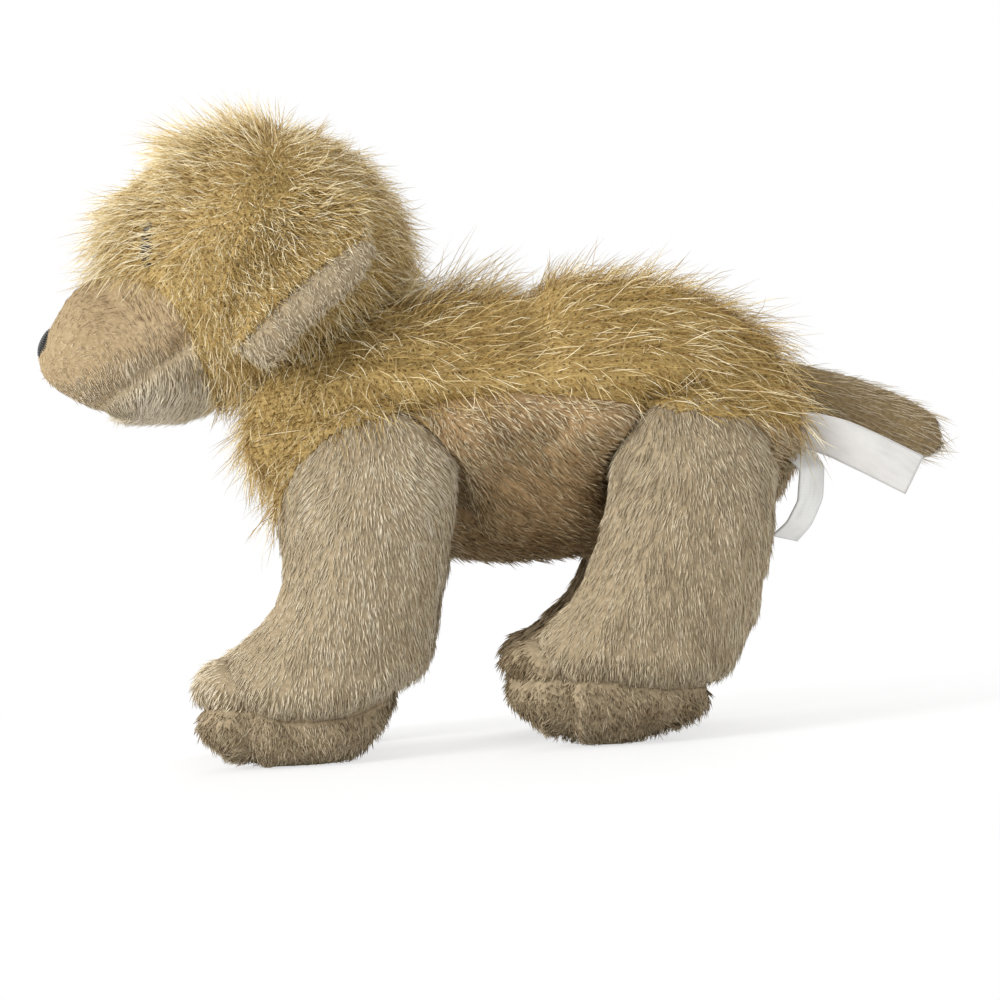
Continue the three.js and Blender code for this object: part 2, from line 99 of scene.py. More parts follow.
class Wire:  # a socket that takes part in sums
    def __init__(self, bench, socket):
        self.bench = bench
        self.socket = socket

    def of(self, name):  # another output of the same node
        return Wire(self.bench, pickSocket(self.socket.node.outputs, name))

    def between(self, low, high):  # 0 below low, 1 above high, smooth in between
        sockets = {"Value": self, "From Min": low, "From Max": high}
        return self.bench.node("ShaderNodeMapRange", {"interpolation_type": "SMOOTHSTEP"}, sockets)

    __add__ = sumOf("ADD")
    __radd__ = sumOf("ADD", swapped=True)
    __sub__ = sumOf("SUBTRACT")
    __rsub__ = sumOf("SUBTRACT", swapped=True)
    __mul__ = sumOf("MULTIPLY")
    __rmul__ = sumOf("MULTIPLY", swapped=True)
    __truediv__ = sumOf("DIVIDE")
    __lt__ = sumOf("LESS_THAN")
    power = sumOf("POWER")
    floor = sumOf("FLOOR")
    fract = sumOf("FRACT")
    sine = sumOf("SINE")
    atLeast = sumOf("MAXIMUM")
    atMost = sumOf("MINIMUM")
    unit = sumOf("NORMALIZE")
    cross = sumOf("CROSS_PRODUCT")
    dot = sumOf("DOT_PRODUCT", 1)
    size = sumOf("LENGTH", 1)


class Bench:  # a node tree that is being built
    def __init__(self, tree):
        self.tree = tree

    def node(self, kind, settings=(), sockets=(), out=0):
        made = self.tree.nodes.new(kind)
        for name, value in dict(settings).items():
            if name == "stops":
                self.setStops(made.color_ramp, value)
            else:
                setattr(made, name, value)
        for key, value in dict(sockets).items():
            socket = pickSocket(made.inputs, key)
            if isinstance(value, Wire):
                self.tree.links.new(value.socket, socket)
            elif socket.type == "VECTOR" and not isVector(value):
                socket.default_value = (value, value, value)
            elif socket.type == "RGBA" and len(value) == 3:
                socket.default_value = (*value, 1)
            else:
                socket.default_value = value
        return Wire(self, pickSocket(made.outputs, out)) if made.outputs else made

    def setStops(self, ramp, stops):
        while len(ramp.elements) > 1:
            ramp.elements.remove(ramp.elements[-1])
        for n, (place, colour) in enumerate(stops):
            stop = ramp.elements[0] if n == 0 else ramp.elements.new(place)
            stop.position = place
            stop.color = (*colour, 1)

    def ramp(self, value, stops):
        return self.node("ShaderNodeValToRGB", {"stops": stops}, {"Fac": value}, "Color")

    def blend(self, share, first, second, way="MIX"):
        settings = {"data_type": "RGBA", "blend_type": way}
        return self.node("ShaderNodeMix", settings, {0: share, 6: first, 7: second}, 2)

    def noise(self, place, scale, detail=2.0, rough=0.5):
        sockets = {"Vector": place, "Scale": scale, "Detail": detail, "Roughness": rough}
        return self.node("ShaderNodeTexNoise", {}, sockets, 0)

    def place(self):  # a point of the surface in the part's frame
        return self.node("ShaderNodeTexCoord", {}, {}, "Object")

    def split(self, vector):  # gives x; y and z are its other outputs
        return self.node("ShaderNodeSeparateXYZ", {}, {"Vector": vector}, "X")

    def combine(self, **parts):
        return self.node("ShaderNodeCombineXYZ", {}, parts, "Vector")

    def shape(self, source):  # the mesh of an object, in a geometry tree
        settings = {"transform_space": "ORIGINAL"}
        return self.node("GeometryNodeObjectInfo", settings, {"Object": source}, "Geometry")

    def named(self, name, kind="FLOAT"):  # a named attribute, in a geometry tree
        return self.node("GeometryNodeInputNamedAttribute", {"data_type": kind}, {"Name": name}, "Attribute")

    def arrow(self, name):
        return self.named(name, "FLOAT_VECTOR")

    def store(self, geometry, name, value, kind="FLOAT", domain="POINT"):
        sockets = {"Geometry": geometry, "Name": name, "Value": value}
        return self.node("GeometryNodeStoreNamedAttribute", {"data_type": kind, "domain": domain}, sockets)


def tint(red, green, blue):  # sRGB bytes to the linear colour that nodes take
    def linear(byte):
        share = byte / 255
        return share / 12.92 if share <= 0.04045 else ((share + 0.055) / 1.055) ** 2.4

    return linear(red), linear(green), linear(blue)


def shades(*stops):  # a ramp's stops, each given as place, red, green and blue
    return [(place, tint(*colour)) for place, *colour in stops]


def newMaterial(name):
    material = bpy.data.materials.new(name)
    material.use_nodes = True
    bench = Bench(material.node_tree)
    bench.tree.nodes.clear()
    return material, bench


def finishMaterial(material, bench, sockets):
    shader = bench.node("ShaderNodeBsdfPrincipled", {}, sockets, "BSDF")
    bench.node("ShaderNodeOutputMaterial", {}, {"Surface": shader})
    return material


def bumped(bench, height, strength, distance):
    sockets = {"Height": height, "Strength": strength, "Distance": distance * mm}
    return bench.node("ShaderNodeBump", {}, sockets, "Normal")


# Materials

shagLook = {
    "stops": shades((0.0, 140, 108, 52), (0.4, 190, 161, 98), (0.75, 230, 208, 155), (1.0, 255, 246, 216)),
    "rootShade": tint(182, 154, 106),
    "rootEnd": 0.55,  # share of a strand over which the shade of its root fades out
    "roughness": 0.34,
    "gloss": 0.3,
}
plushLook = {
    "stops": shades((0.0, 118, 101, 76), (0.15, 151, 135, 109), (0.5, 200, 186, 159), (1.0, 228, 219, 199)),
    "rootShade": tint(206, 195, 178),
    "rootEnd": 0.55,
    "roughness": 0.75,
    "gloss": 0.15,
}
bellyLook = {
    **plushLook,
    "stops": shades((0.0, 130, 104, 70), (0.15, 164, 138, 102), (0.5, 202, 184, 150), (1.0, 228, 217, 193)),
}
muzzleLook = {
    **plushLook,
    "stops": shades((0.0, 146, 120, 87), (0.3, 186, 163, 130), (0.6, 202, 185, 156), (1.0, 228, 219, 199)),
}


def fibreMaterial(name, look):
    # The fibre map holds a strand's own tint across, and the way along the strand upwards.
    material, bench = newMaterial(name)
    split = bench.split(bench.node("ShaderNodeUVMap", {"uv_map": "OFBake"}, {}, "UV"))
    colour = bench.ramp(split, look["stops"])
    rooted = 1 - split.of("Y").between(0.0, look["rootEnd"])
    colour = bench.blend(rooted, colour, bench.blend(1.0, colour, look["rootShade"], "MULTIPLY"))
    sockets = {"Base Color": colour, "Roughness": look["roughness"], "Specular IOR Level": look["gloss"]}
    return finishMaterial(material, bench, sockets)


knitLook = {
    "pitch": 1.65,  # mm between holes along a row
    "row": 2.1,
    "wander": 1.1,
    "hole": (0.16, 0.4),  # mm from a hole's middle where it is dark, and where it ends
    "dark": tint(142, 117, 68),
    "light": tint(178, 153, 97),
    "holeShade": tint(88, 66, 30),
}


def knitMaterial(name, look):
    # Knitted backing of the shag: rows of small dark holes between the yarns
    material, bench = newMaterial(name)
    place = bench.node("ShaderNodeAttribute", {"attribute_name": "knit"}, {}, "Vector")
    wander = bench.noise(place, 0.35, 2.0).of("Color") - (0.5, 0.5, 0.5)
    split = bench.split(place + wander * look["wander"])
    rowAt = split.of("Y") / look["row"]
    shifted = split / look["pitch"] + rowAt.floor() * 0.5
    across = (shifted.fract() - 0.5) * look["pitch"]
    along = (rowAt.fract() - 0.5) * look["row"]
    away = (across * across + along * along * 0.6).power(0.5)
    hole = (1 - away.between(*look["hole"])) * bench.noise(place, 0.4, 2.0).between(0.34, 0.6)
    yarn = (rowAt * (2 * math.pi)).sine() * 0.5 + 0.5
    mottle = bench.noise(place * (0.8, 2.4, 1.0), 1.1, 4.0)
    colour = bench.blend(mottle.between(0.3, 0.72), look["dark"], look["light"])
    colour = bench.blend(hole * 0.85, colour, look["holeShade"])
    normal = bumped(bench, yarn * 0.35 + mottle * 0.5 - hole, 0.6, 0.6)
    sockets = {"Base Color": colour, "Roughness": 0.6, "Specular IOR Level": 0.2, "Normal": normal}
    return finishMaterial(material, bench, sockets)


def napMaterial(name, dark, light):
    # The short-pile cloth under its own fibres: a fine mottled nap, set darker than its fibres as painted
    # shade in the gaps between them
    material, bench = newMaterial(name)
    place = bench.place()
    fine = bench.noise(place, 900.0, 3.0, 0.6)
    broad = bench.noise(place, 60.0, 3.0)
    colour = bench.blend((fine * 0.7 + broad * 0.3).between(0.32, 0.7), dark, light)
    normal = bumped(bench, fine + broad, 0.5, 0.8)
    sockets = {"Base Color": colour, "Roughness": 0.9, "Specular IOR Level": 0.1, "Normal": normal}
    return finishMaterial(material, bench, sockets)


def fillMaterial(name, dark, light):
    # Matted polyester fibre
    material, bench = newMaterial(name)
    place = bench.place()
    strands = bench.noise(place, 420.0, 6.0, 0.7)
    lumps = bench.noise(place, 90.0, 3.0)
    colour = bench.blend(strands.between(0.3, 0.7), dark, light)
    normal = bumped(bench, strands * 0.5 + lumps, 0.7, 2.0)
    return finishMaterial(material, bench, {"Base Color": colour, "Roughness": 0.95, "Normal": normal})


def threadMaterial(name, dark, light, twist, rough):
    # Twisted thread: a slanting ply over a silky ground
    material, bench = newMaterial(name)
    place = bench.place()
    split = bench.split(place)
    ply = ((split + split.of("Y") * 0.8 + split.of("Z") * 1.3) * twist).sine() * 0.5 + 0.5
    fuzz = bench.noise(place, 1500.0, 3.0)
    colour = bench.blend((ply * 0.6 + fuzz * 0.4).between(0.2, 0.8), dark, light)
    normal = bumped(bench, ply + fuzz * 0.4, 0.4, 0.3)
    sockets = {"Base Color": colour, "Roughness": rough + (1 - ply) * 0.2, "Normal": normal}
    return finishMaterial(material, bench, sockets)


def ribbonMaterial(name, dark, light, rough):
    # Woven satin ribbon: fine ribs across it, firm selvedges, a little soiling
    material, bench = newMaterial(name)
    place = bench.node("ShaderNodeUVMap", {"uv_map": "ribbon"}, {}, "UV")
    split = bench.split(place)
    ribs = (split * 620.0).sine() * 0.5 + 0.5
    weft = (split.of("Y") * 260.0).sine() * 0.5 + 0.5
    fromMiddle = split.of("Y") - 0.5
    selvedge = (fromMiddle * fromMiddle).between(0.19, 0.215)
    soil = bench.noise(place, 5.0, 4.0)
    colour = bench.blend(soil.between(0.4, 0.8) * 0.4, light, dark)
    colour = bench.blend(selvedge * 0.35, colour, dark)
    colour = bench.blend((1 - ribs) * 0.18, colour, dark)
    normal = bumped(bench, ribs * 0.6 + weft * 0.4 + selvedge, 0.25, 0.3)
    sockets = {"Base Color": colour, "Roughness": rough + weft * 0.15, "Sheen Weight": 0.2, "Normal": normal}
    return finishMaterial(material, bench, sockets)


shagFibre = fibreMaterial("golden_shag_fibre", shagLook)
plushFibre = fibreMaterial("beige_plush_fibre", plushLook)
bellyFibre = fibreMaterial("warm_plush_fibre", bellyLook)
muzzleFibre = fibreMaterial("peach_plush_fibre", muzzleLook)
shagKnit = knitMaterial("golden_knit_backing", knitLook)
# The naps are darker than the fibres on them: painted shade in the gaps between the fibres
plushNap = napMaterial("beige_plush_nap", tint(137, 121, 96), tint(165, 149, 122))
bellyNap = napMaterial("warm_belly_nap", tint(134, 109, 76), tint(168, 142, 106))
muzzleNap = napMaterial("peach_muzzle_nap", tint(138, 118, 88), tint(166, 146, 114))
tailNap = napMaterial("golden_tail_nap", tint(118, 100, 71), tint(152, 133, 100))
fibreFill = fillMaterial("white_fibre_fill", tint(222, 220, 214), tint(248, 247, 243))
goldThread = threadMaterial("gold_sewing_thread", tint(140, 108, 58), tint(205, 172, 112), 9000.0, 0.45)
blackSatin = threadMaterial("black_satin_stitch", tint(9, 9, 8), tint(40, 40, 37), 5200.0, 0.3)
brownSatin = threadMaterial("dark_brown_satin_stitch", tint(22, 15, 8), tint(58, 42, 24), 5200.0, 0.35)
whiteRibbon = ribbonMaterial("white_satin_ribbon", tint(172, 169, 164), tint(208, 206, 203), 0.4)
greyRibbon = ribbonMaterial("soft_grey_ribbon", tint(176, 176, 173), tint(226, 226, 223), 0.5)
print("materials made")


# Mesh helpers

def loose(name, mesh):
    piece = bpy.data.objects.new(name, mesh)
    scene.collection.objects.link(piece)
    return piece


def drop(piece):
    bpy.data.objects.remove(piece)


def evaluated(piece):
    graph = bpy.context.evaluated_depsgraph_get()
    return bpy.data.meshes.new_from_object(piece.evaluated_get(graph), depsgraph=graph)


def pointsOf(mesh):
    flat = np.empty(len(mesh.vertices) * 3)
    mesh.vertices.foreach_get("co", flat)
    return flat.reshape(-1, 3)


def normalsOf(mesh):
    flat = np.empty(len(mesh.vertices) * 3)
    mesh.vertex_normals.foreach_get("vector", flat)
    return flat.reshape(-1, 3)


def setPoints(mesh, points):
    mesh.vertices.foreach_set("co", np.ascontiguousarray(points, dtype=np.float32).ravel())
    mesh.update()


def edgesOf(mesh):
    flat = np.empty(len(mesh.edges) * 2, dtype=np.int32)
    mesh.edges.foreach_get("vertices", flat)
    return flat.reshape(-1, 2)


def relaxed(points, edges, steps):
    # Rounds a surface off without shrinking it
    count = np.bincount(edges.ravel(), minlength=len(points))[:, None]
    for step in range(2 * steps):
        total = np.zeros_like(points)
        np.add.at(total, edges[:, 0], points[edges[:, 1]])
        np.add.at(total, edges[:, 1], points[edges[:, 0]])
        share = 0.55 if step % 2 == 0 else -0.57
        points = points + share * (total / count - points)
    return points


def smoothShade(mesh):
    mesh.polygons.foreach_set("use_smooth", np.ones(len(mesh.polygons), dtype=bool))


def plainMesh(name, points, faces):
    mesh = bpy.data.meshes.new(name)
    mesh.from_pydata([tuple(point) for point in points], [], faces)
    mesh.update()
    return mesh


def shapeOf(meshes):
    shape = bmesh.new()
    for mesh in meshes:
        shape.from_mesh(mesh)
    return shape


def meshOf(shape, mesh=None):
    made = mesh or bpy.data.meshes.new("shape")
    shape.to_mesh(made)
    shape.free()
    made.update()
    smoothShade(made)
    return made


def joined(meshes):
    return meshOf(shapeOf(meshes))


def facedOut(mesh):
    shape = shapeOf([mesh])
    bmesh.ops.recalc_face_normals(shape, faces=shape.faces)
    return meshOf(shape, mesh)


def patternMesh(nodes):
    shape = shapeOf([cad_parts[node].data for node in nodes])
    bmesh.ops.remove_doubles(shape, verts=shape.verts, dist=1e-6)
    return meshOf(shape)


def modified(mesh, kind, **settings):
    piece = loose("work", mesh)
    step = piece.modifiers.new("step", kind)
    for name, value in settings.items():
        setattr(step, name, value)
    made = evaluated(piece)
    drop(piece)
    smoothShade(made)
    return made


def remeshed(mesh, voxel):
    return modified(mesh, "REMESH", mode="VOXEL", voxel_size=voxel * mm)


def finer(mesh, levels):
    return modified(mesh, "SUBSURF", levels=levels, render_levels=levels)


def thickened(mesh, thickness):
    return modified(mesh, "SOLIDIFY", thickness=thickness * mm, offset=-1)


def smoothStep(values):
    share = np.clip(values, 0, 1)
    return share * share * (3 - 2 * share)


def grounded(points):
    points[:, 2] = np.maximum(points[:, 2], 0.3 * mm)
    return points


def moveOut(mesh, far):  # along the normals, by mm that may differ from point to point
    setPoints(mesh, pointsOf(mesh) + normalsOf(mesh) * np.reshape(far * mm, (-1, 1)))


def pumped(mesh, recipe):
    # Fills a cover: swollen first, then cloth under pressure, each point held to a small move
    start = pointsOf(mesh) + normalsOf(mesh) * recipe["swell"] * mm
    setPoints(mesh, start)
    piece = loose("pump", mesh)
    cloth = piece.modifiers.new("pump", "CLOTH")
    cloth.settings.quality = 4
    cloth.settings.use_pressure = True
    cloth.settings.uniform_pressure_force = recipe["pressure"]
    cloth.settings.tension_stiffness = 12
    cloth.settings.bending_stiffness = 0.4
    cloth.settings.effector_weights.gravity = 0
    cloth.collision_settings.use_collision = False
    cloth.point_cache.frame_start = 1
    cloth.point_cache.frame_end = recipe["frames"]
    for number in range(1, recipe["frames"] + 1):
        scene.frame_set(number)
    after = pointsOf(evaluated(piece))
    drop(piece)
    scene.frame_set(1)
    move = after - start
    far = np.linalg.norm(move, axis=1, keepdims=True)
    return start + move * np.minimum(1, recipe["cap"] * mm / np.maximum(far, 1e-9))


def stuffedSkin(nodes, recipe):
    mesh = remeshed(patternMesh(nodes), recipe["voxel"])
    edges = edgesOf(mesh)
    setPoints(mesh, relaxed(pointsOf(mesh), edges, recipe["relax"]))
    setPoints(mesh, grounded(relaxed(pumped(mesh, recipe), edges, 2)))
    return finer(mesh, 1)


def treeOf(mesh):
    faces = [tuple(face.vertices) for face in mesh.polygons]
    return BVHTree.FromPolygons([tuple(v) for v in pointsOf(mesh)], faces)


def crowded(points, trees, gap):
    # True where a point lies inside a neighbour or within the gap of it
    found = np.zeros(len(points), dtype=bool)
    for tree in trees:
        for n, point in enumerate(points):
            place, normal, _, away = tree.find_nearest(Vector(point))
            if away < gap * mm or (Vector(point) - place).dot(normal) < 0:
                found[n] = True
    return found


def smoothLine(points, count):
    # Even steps along a line through the points, with its corners eased
    points = np.array(points, dtype=float)
    far = np.concatenate([[0], np.cumsum(np.linalg.norm(np.diff(points, axis=0), axis=1))])
    steps = np.linspace(0, far[-1], count)
    line = np.stack([np.interp(steps, far, column) for column in points.T], axis=1)
    for _ in range(max(2, count // 8)):
        line[1:-1] += 0.5 * ((line[:-2] + line[2:]) / 2 - line[1:-1])
    return line


def withinOutline(points, outline):
    # True where a point, in two dimensions, lies inside a closed outline
    inside = np.zeros(len(points), dtype=bool)
    for (ax, az), (bx, bz) in zip(outline, np.roll(outline, -1, axis=0)):
        spans = (az > points[:, 1]) != (bz > points[:, 1])
        if abs(bz - az) > 1e-9:
            inside ^= spans & (points[:, 0] < (bx - ax) * (points[:, 1] - az) / (bz - az) + ax)
    return inside


def seamHeight(seam):
    # Height of a seam over x, through its points on a smooth line
    xs, zs = np.array(seam, dtype=float).T
    fine = np.linspace(xs[0], xs[-1], 400)
    rough = np.interp(fine, xs, zs)
    soft = np.convolve(np.pad(rough, 12, mode="edge"), np.ones(25) / 25, mode="valid")
    return lambda x: np.interp(x, fine, soft)


def pinched(mesh, away, groove):
    # Draws a surface in along a seam and swells it to both sides. away is each point's distance in mm.
    wide = groove["wide"]
    inward = -groove["deep"] * np.exp(-((away / wide) ** 2))
    swell = groove["swell"] * np.exp(-(((np.abs(away) - 2.6 * wide) / (1.6 * wide)) ** 2))
    moveOut(mesh, (inward + swell) * groove.get("share", 1))


def splitAlong(mesh, field):
    # Cuts the faces along the line where the field is 0, so that a panel's edge is clean
    shape = shapeOf([mesh])
    shape.verts.ensure_lookup_table()
    values = dict(zip(shape.verts, field(pointsOf(mesh))))
    fresh = []
    for edge in list(shape.edges):
        first, second = edge.verts
        a, b = values[first], values[second]
        if a * b < 0 and min(abs(a), abs(b)) > 1e-4:
            _, middle = bmesh.utils.edge_split(edge, first, a / (a - b))
            values[middle] = 0
            fresh.append(middle)
    bmesh.ops.connect_verts(shape, verts=fresh)
    meshOf(shape, mesh)


def panelOf(mesh, keep):
    # The faces whose middle passes the test, as a mesh of their own
    shape = shapeOf([mesh])
    wanted = keep(np.array([face.calc_center_median() for face in shape.faces]))
    bmesh.ops.delete(shape, geom=[f for f, w in zip(shape.faces, wanted) if not w], context="FACES")
    return meshOf(shape)


def placed(name, mesh, body):
    mesh.name = name
    piece = loose(name, mesh)
    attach(piece, body)
    return piece


def addCover(name, mesh, material, body, nodes):
    made = mesh.copy()
    made.materials.clear()
    made.materials.append(material)
    piece = placed(name, made, body)
    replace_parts(piece, *nodes)


def setAttribute(mesh, name, values, kind="FLOAT"):
    old = mesh.attributes.get(name)
    if old:
        mesh.attributes.remove(old)
    layer = mesh.attributes.new(name, kind, "POINT")
    field = "vector" if kind == "FLOAT_VECTOR" else "value"
    layer.data.foreach_set(field, np.ascontiguousarray(values, dtype=np.float32).ravel())


# Fur

def strandMesh(name, rings):
    # One fibre: three sides, closed at the root, drawn to a point
    shares = [ring / rings for ring in range(rings)]
    points = [(share, side, 1 - 0.45 * share ** 2) for share in shares for side in range(3)]
    faces = [(2, 1, 0)]
    for ring in range(rings - 1):
        for side in range(3):
            a, b = 3 * ring + side, 3 * ring + (side + 1) % 3
            faces.append((a, b, b + 3, a + 3))
    tip = len(points)
    last = tip - 3
    faces += [(last + side, last + (side + 1) % 3, tip) for side in range(3)]
    third = 2.0944  # a third of a turn
    places = [(taper * math.cos(side * third), taper * math.sin(side * third), along)
              for along, side, taper in points] + [(0, 0, 1)]
    mesh = plainMesh(name, [[c * mm for c in place] for place in places], faces)
    setAttribute(mesh, "along", [p[2] for p in places])
    setAttribute(mesh, "ring", [(p[0], p[1], 0) for p in places], "FLOAT_VECTOR")
    setAttribute(mesh, "turn", [side / 3 for _, side, _ in points] + [0.5])
    return loose(name, mesh)


def newTree(name, inputs):
    tree = bpy.data.node_groups.new(name, "GeometryNodeTree")
    for label, kind in {"Geometry": "Geometry", **inputs}.items():
        tree.interface.new_socket(label, in_out="INPUT", socket_type="NodeSocket" + kind)
    tree.interface.new_socket("Geometry", in_out="OUTPUT", socket_type="NodeSocketGeometry")
    bench = Bench(tree)
    return bench, bench.node("NodeGroupInput", out="Geometry")


def closeTree(bench, geometry, place, material):
    made = bench.node("GeometryNodeSetPosition", {}, {"Geometry": geometry, "Position": place})
    made = bench.node("GeometryNodeSetShadeSmooth", {}, {0: made})
    made = bench.node("GeometryNodeRealizeInstances", {}, {"Geometry": made})
    made = bench.node("GeometryNodeSetMaterial", {}, {"Geometry": made, "Material": material})
    bench.node("NodeGroupOutput", {}, {"Geometry": made})
    return bench.tree


def grown(mesh, tree, values, spent):
    # The mesh after a tree has run on it, without the attributes that the tree has spent
    piece = loose("ground", mesh)
    grow = piece.modifiers.new("grow", "NODES")
    grow.node_group = tree
    sockets = {s.name: s.identifier for s in tree.interface.items_tree if s.in_out == "INPUT"}
    for label, value in values.items():
        grow[sockets[label]] = value
    made = evaluated(piece)
    drop(piece)
    for name in [a.name for a in made.attributes if a.name in spent]:
        made.attributes.remove(made.attributes[name])
    return made


furInputs = {
    "Strand": "Object",
    "Neighbours": "Object",
    "Material": "Material",
    **dict.fromkeys(["Density", "Length", "Thickness", "Root Lift", "Tip Lift", "Droop", "Lock Density",
                     "Lock Pull", "Sway", "Tint Spread", "Lock Spread", "Pale Highlight Share", "Clearance"], "Float"),
    "Seed": "Int",
}
furSpent = ["root", "out", "pull", "sway", "bend", "tall", "hue", "comb", "rise", "pile", "cover", "tone",
            "along", "ring", "turn", "knit"]


def makeFurTree():
    bench, given = newTree("fur_coat", furInputs)
    seed = given.of("Seed")
    position = bench.node("GeometryNodeInputPosition")

    # Roots, and the middles of the locks that the fibres gather into
    def scattered(density, number):
        sockets = {"Mesh": given, "Density": density, "Seed": number}
        settings = {"distribute_method": "RANDOM"}
        return bench.node("GeometryNodeDistributePointsOnFaces", settings, sockets, "Points")

    points = scattered(given.of("Density") * bench.named("cover"), seed)
    locks = scattered(given.of("Lock Density"), seed + 1)
    nearest = bench.node("GeometryNodeSampleNearest", {"domain": "POINT"}, {"Geometry": locks}, "Index")
    lockPlace = bench.node(
        "GeometryNodeSampleIndex",
        {"data_type": "FLOAT_VECTOR", "domain": "POINT"},
        {"Geometry": locks, "Value": position, "Index": nearest},
        "Value",
    )

    def chance(low, high, number, kind="FLOAT", which=None):
        sockets = {"Min": low, "Max": high, "Seed": seed + number}
        if which:
            sockets["ID"] = which
        return bench.node("FunctionNodeRandomValue", {"data_type": kind}, sockets, "Value")

    def anyWay(number):
        return chance((-1, -1, -1), (1, 1, 1), number, "FLOAT_VECTOR")

    hue = bench.named("tone") + chance(-0.5, 0.5, 2) * given.of("Tint Spread")
    hue = hue + chance(-0.5, 0.5, 3, which=nearest) * given.of("Lock Spread")
    # Some strands are made pale: pale filaments, and also painted highlights for strands that catch the light
    hue = hue + (chance(0.0, 1.0, 6) < given.of("Pale Highlight Share")) * 0.5
    arrows = {
        "root": position,
        "out": points.of("Normal"),
        "pull": lockPlace - position,
        "sway": anyWay(5),
        "bend": anyWay(7),
    }
    stay = points
    for name, value in arrows.items():
        stay = bench.store(stay, name, value, "FLOAT_VECTOR")
    stay = bench.store(stay, "tall", given.of("Length") * bench.named("pile") * chance(0.5, 1.2, 4))
    stay = bench.store(stay, "hue", hue.atLeast(0.03).atMost(0.95))
    strand = bench.shape(given.of("Strand"))
    planted = bench.node("GeometryNodeInstanceOnPoints", {}, {"Points": stay, "Instance": strand})
    coat = bench.node("GeometryNodeRealizeInstances", {}, {"Geometry": planted})

    # Each fibre leaves the cloth at the root lift and bends over to the tip lift
    along, rise = bench.named("along"), bench.named("rise")
    normal, comb = bench.arrow("out"), bench.arrow("comb")
    sway = bench.arrow("sway") * given.of("Sway")
    bend = bench.arrow("bend") * given.of("Sway")
    first = (comb + normal * (given.of("Root Lift") * rise) + sway).unit()
    drooped = bench.combine(Z=given.of("Droop") * -1)
    last = (comb + normal * (given.of("Tip Lift") * rise) + drooped + sway * 0.6 + bend).unit()
    curve = first * along + (last - first) * (along * along * 0.5)
    gather = bench.arrow("pull") * (given.of("Lock Pull") * along * along)
    path = bench.arrow("root") + curve * bench.named("tall") + gather - normal * (0.4 * mm)

    # Held out of the neighbours, and off the floor
    nextTo = bench.shape(given.of("Neighbours"))
    sockets = {0: nextTo, "Sample Position": path}
    near = bench.node("GeometryNodeProximity", {"target_element": "FACES"}, sockets, "Position")
    sockets = {**sockets, "Value": bench.node("GeometryNodeInputNormal")}
    facing = bench.node("GeometryNodeSampleNearestSurface", {"data_type": "FLOAT_VECTOR"}, sockets, "Value")
    wanted = given.of("Clearance") * (along * 0.8 + 0.2)
    inside = (path - near).dot(facing) < wanted
    sockets = {"Switch": inside, "False": path, "True": near + facing * wanted}
    split = bench.split(bench.node("GeometryNodeSwitch", {"input_type": "VECTOR"}, sockets, "Output"))
    path = bench.combine(X=split, Y=split.of("Y"), Z=split.of("Z").atLeast(0.4 * mm))
    heading = (first + (last - first) * along).unit()
    side = heading.cross(normal + comb * 0.21).unit()
    ring = bench.split(bench.arrow("ring"))
    around = side * ring + side.cross(heading) * ring.of("Y")
    mapPlace = bench.combine(X=bench.named("hue") + bench.named("turn") * 0.03, Y=along)
    coat = bench.store(coat, "OFBake", mapPlace, "FLOAT2", "CORNER")
    return closeTree(bench, coat, path + around * given.of("Thickness"), given.of("Material"))


furTree = makeFurTree()
strands = {2: strandMesh("short_strand", 2), 3: strandMesh("long_strand", 3)}
farAway = plainMesh("no_neighbour", [(0, 0, -9), (1, 0, -9), (0, 1, -9)], [(0, 1, 2)])
noNeighbour = loose("no_neighbour", farAway)
helpers = [*strands.values(), noNeighbour]


def guided(points, normals, guides):
    # Lay of the fur from a few combed spots, the same on both sides: place, lay, rise and pile
    table = np.array(guides, dtype=float)
    mirror = table.copy()
    mirror[:, [1, 4]] *= -1
    table = np.vstack([table, mirror])
    away = np.linalg.norm(points[:, None, :] / mm - table[None, :, :3], axis=2)
    weight = 1 / (away + 1.5) ** 3
    weight /= weight.sum(axis=1, keepdims=True)
    mixed = weight @ table[:, 3:]
    lay = mixed[:, :3]
    lay = lay - (lay * normals).sum(axis=1, keepdims=True) * normals
    size = np.linalg.norm(lay, axis=1, keepdims=True)
    lay = lay / np.maximum(size, 0.15)
    return lay, mixed[:, 3], mixed[:, 4]


def mottled(points, lengths, seed):
    # Noise whose patches are lengths mm across, or lengths mm along x, y and z
    return np.array([noise.noise(Vector(p) + Vector((seed, 0, 0))) for p in points / mm / np.array(lengths)])


def combPanel(mesh, guides, bare, tone, mottle, seed, streak=None):
    points = pointsOf(mesh)
    if streak:
        tone = tone + streak[0] * mottled(points, streak[1], seed)
    lay, rise, pile = guided(points, normalsOf(mesh), guides)
    setAttribute(mesh, "comb", lay, "FLOAT_VECTOR")
    setAttribute(mesh, "rise", rise)
    setAttribute(mesh, "pile", pile)
    setAttribute(mesh, "cover", ~bare)
    setAttribute(mesh, "tone", tone + mottle * mottled(points, 14, seed))


def shorten(mesh, share):
    pile = np.empty(len(mesh.vertices), dtype=np.float32)
    mesh.attributes["pile"].data.foreach_get("value", pile)
    setAttribute(mesh, "pile", pile * share)


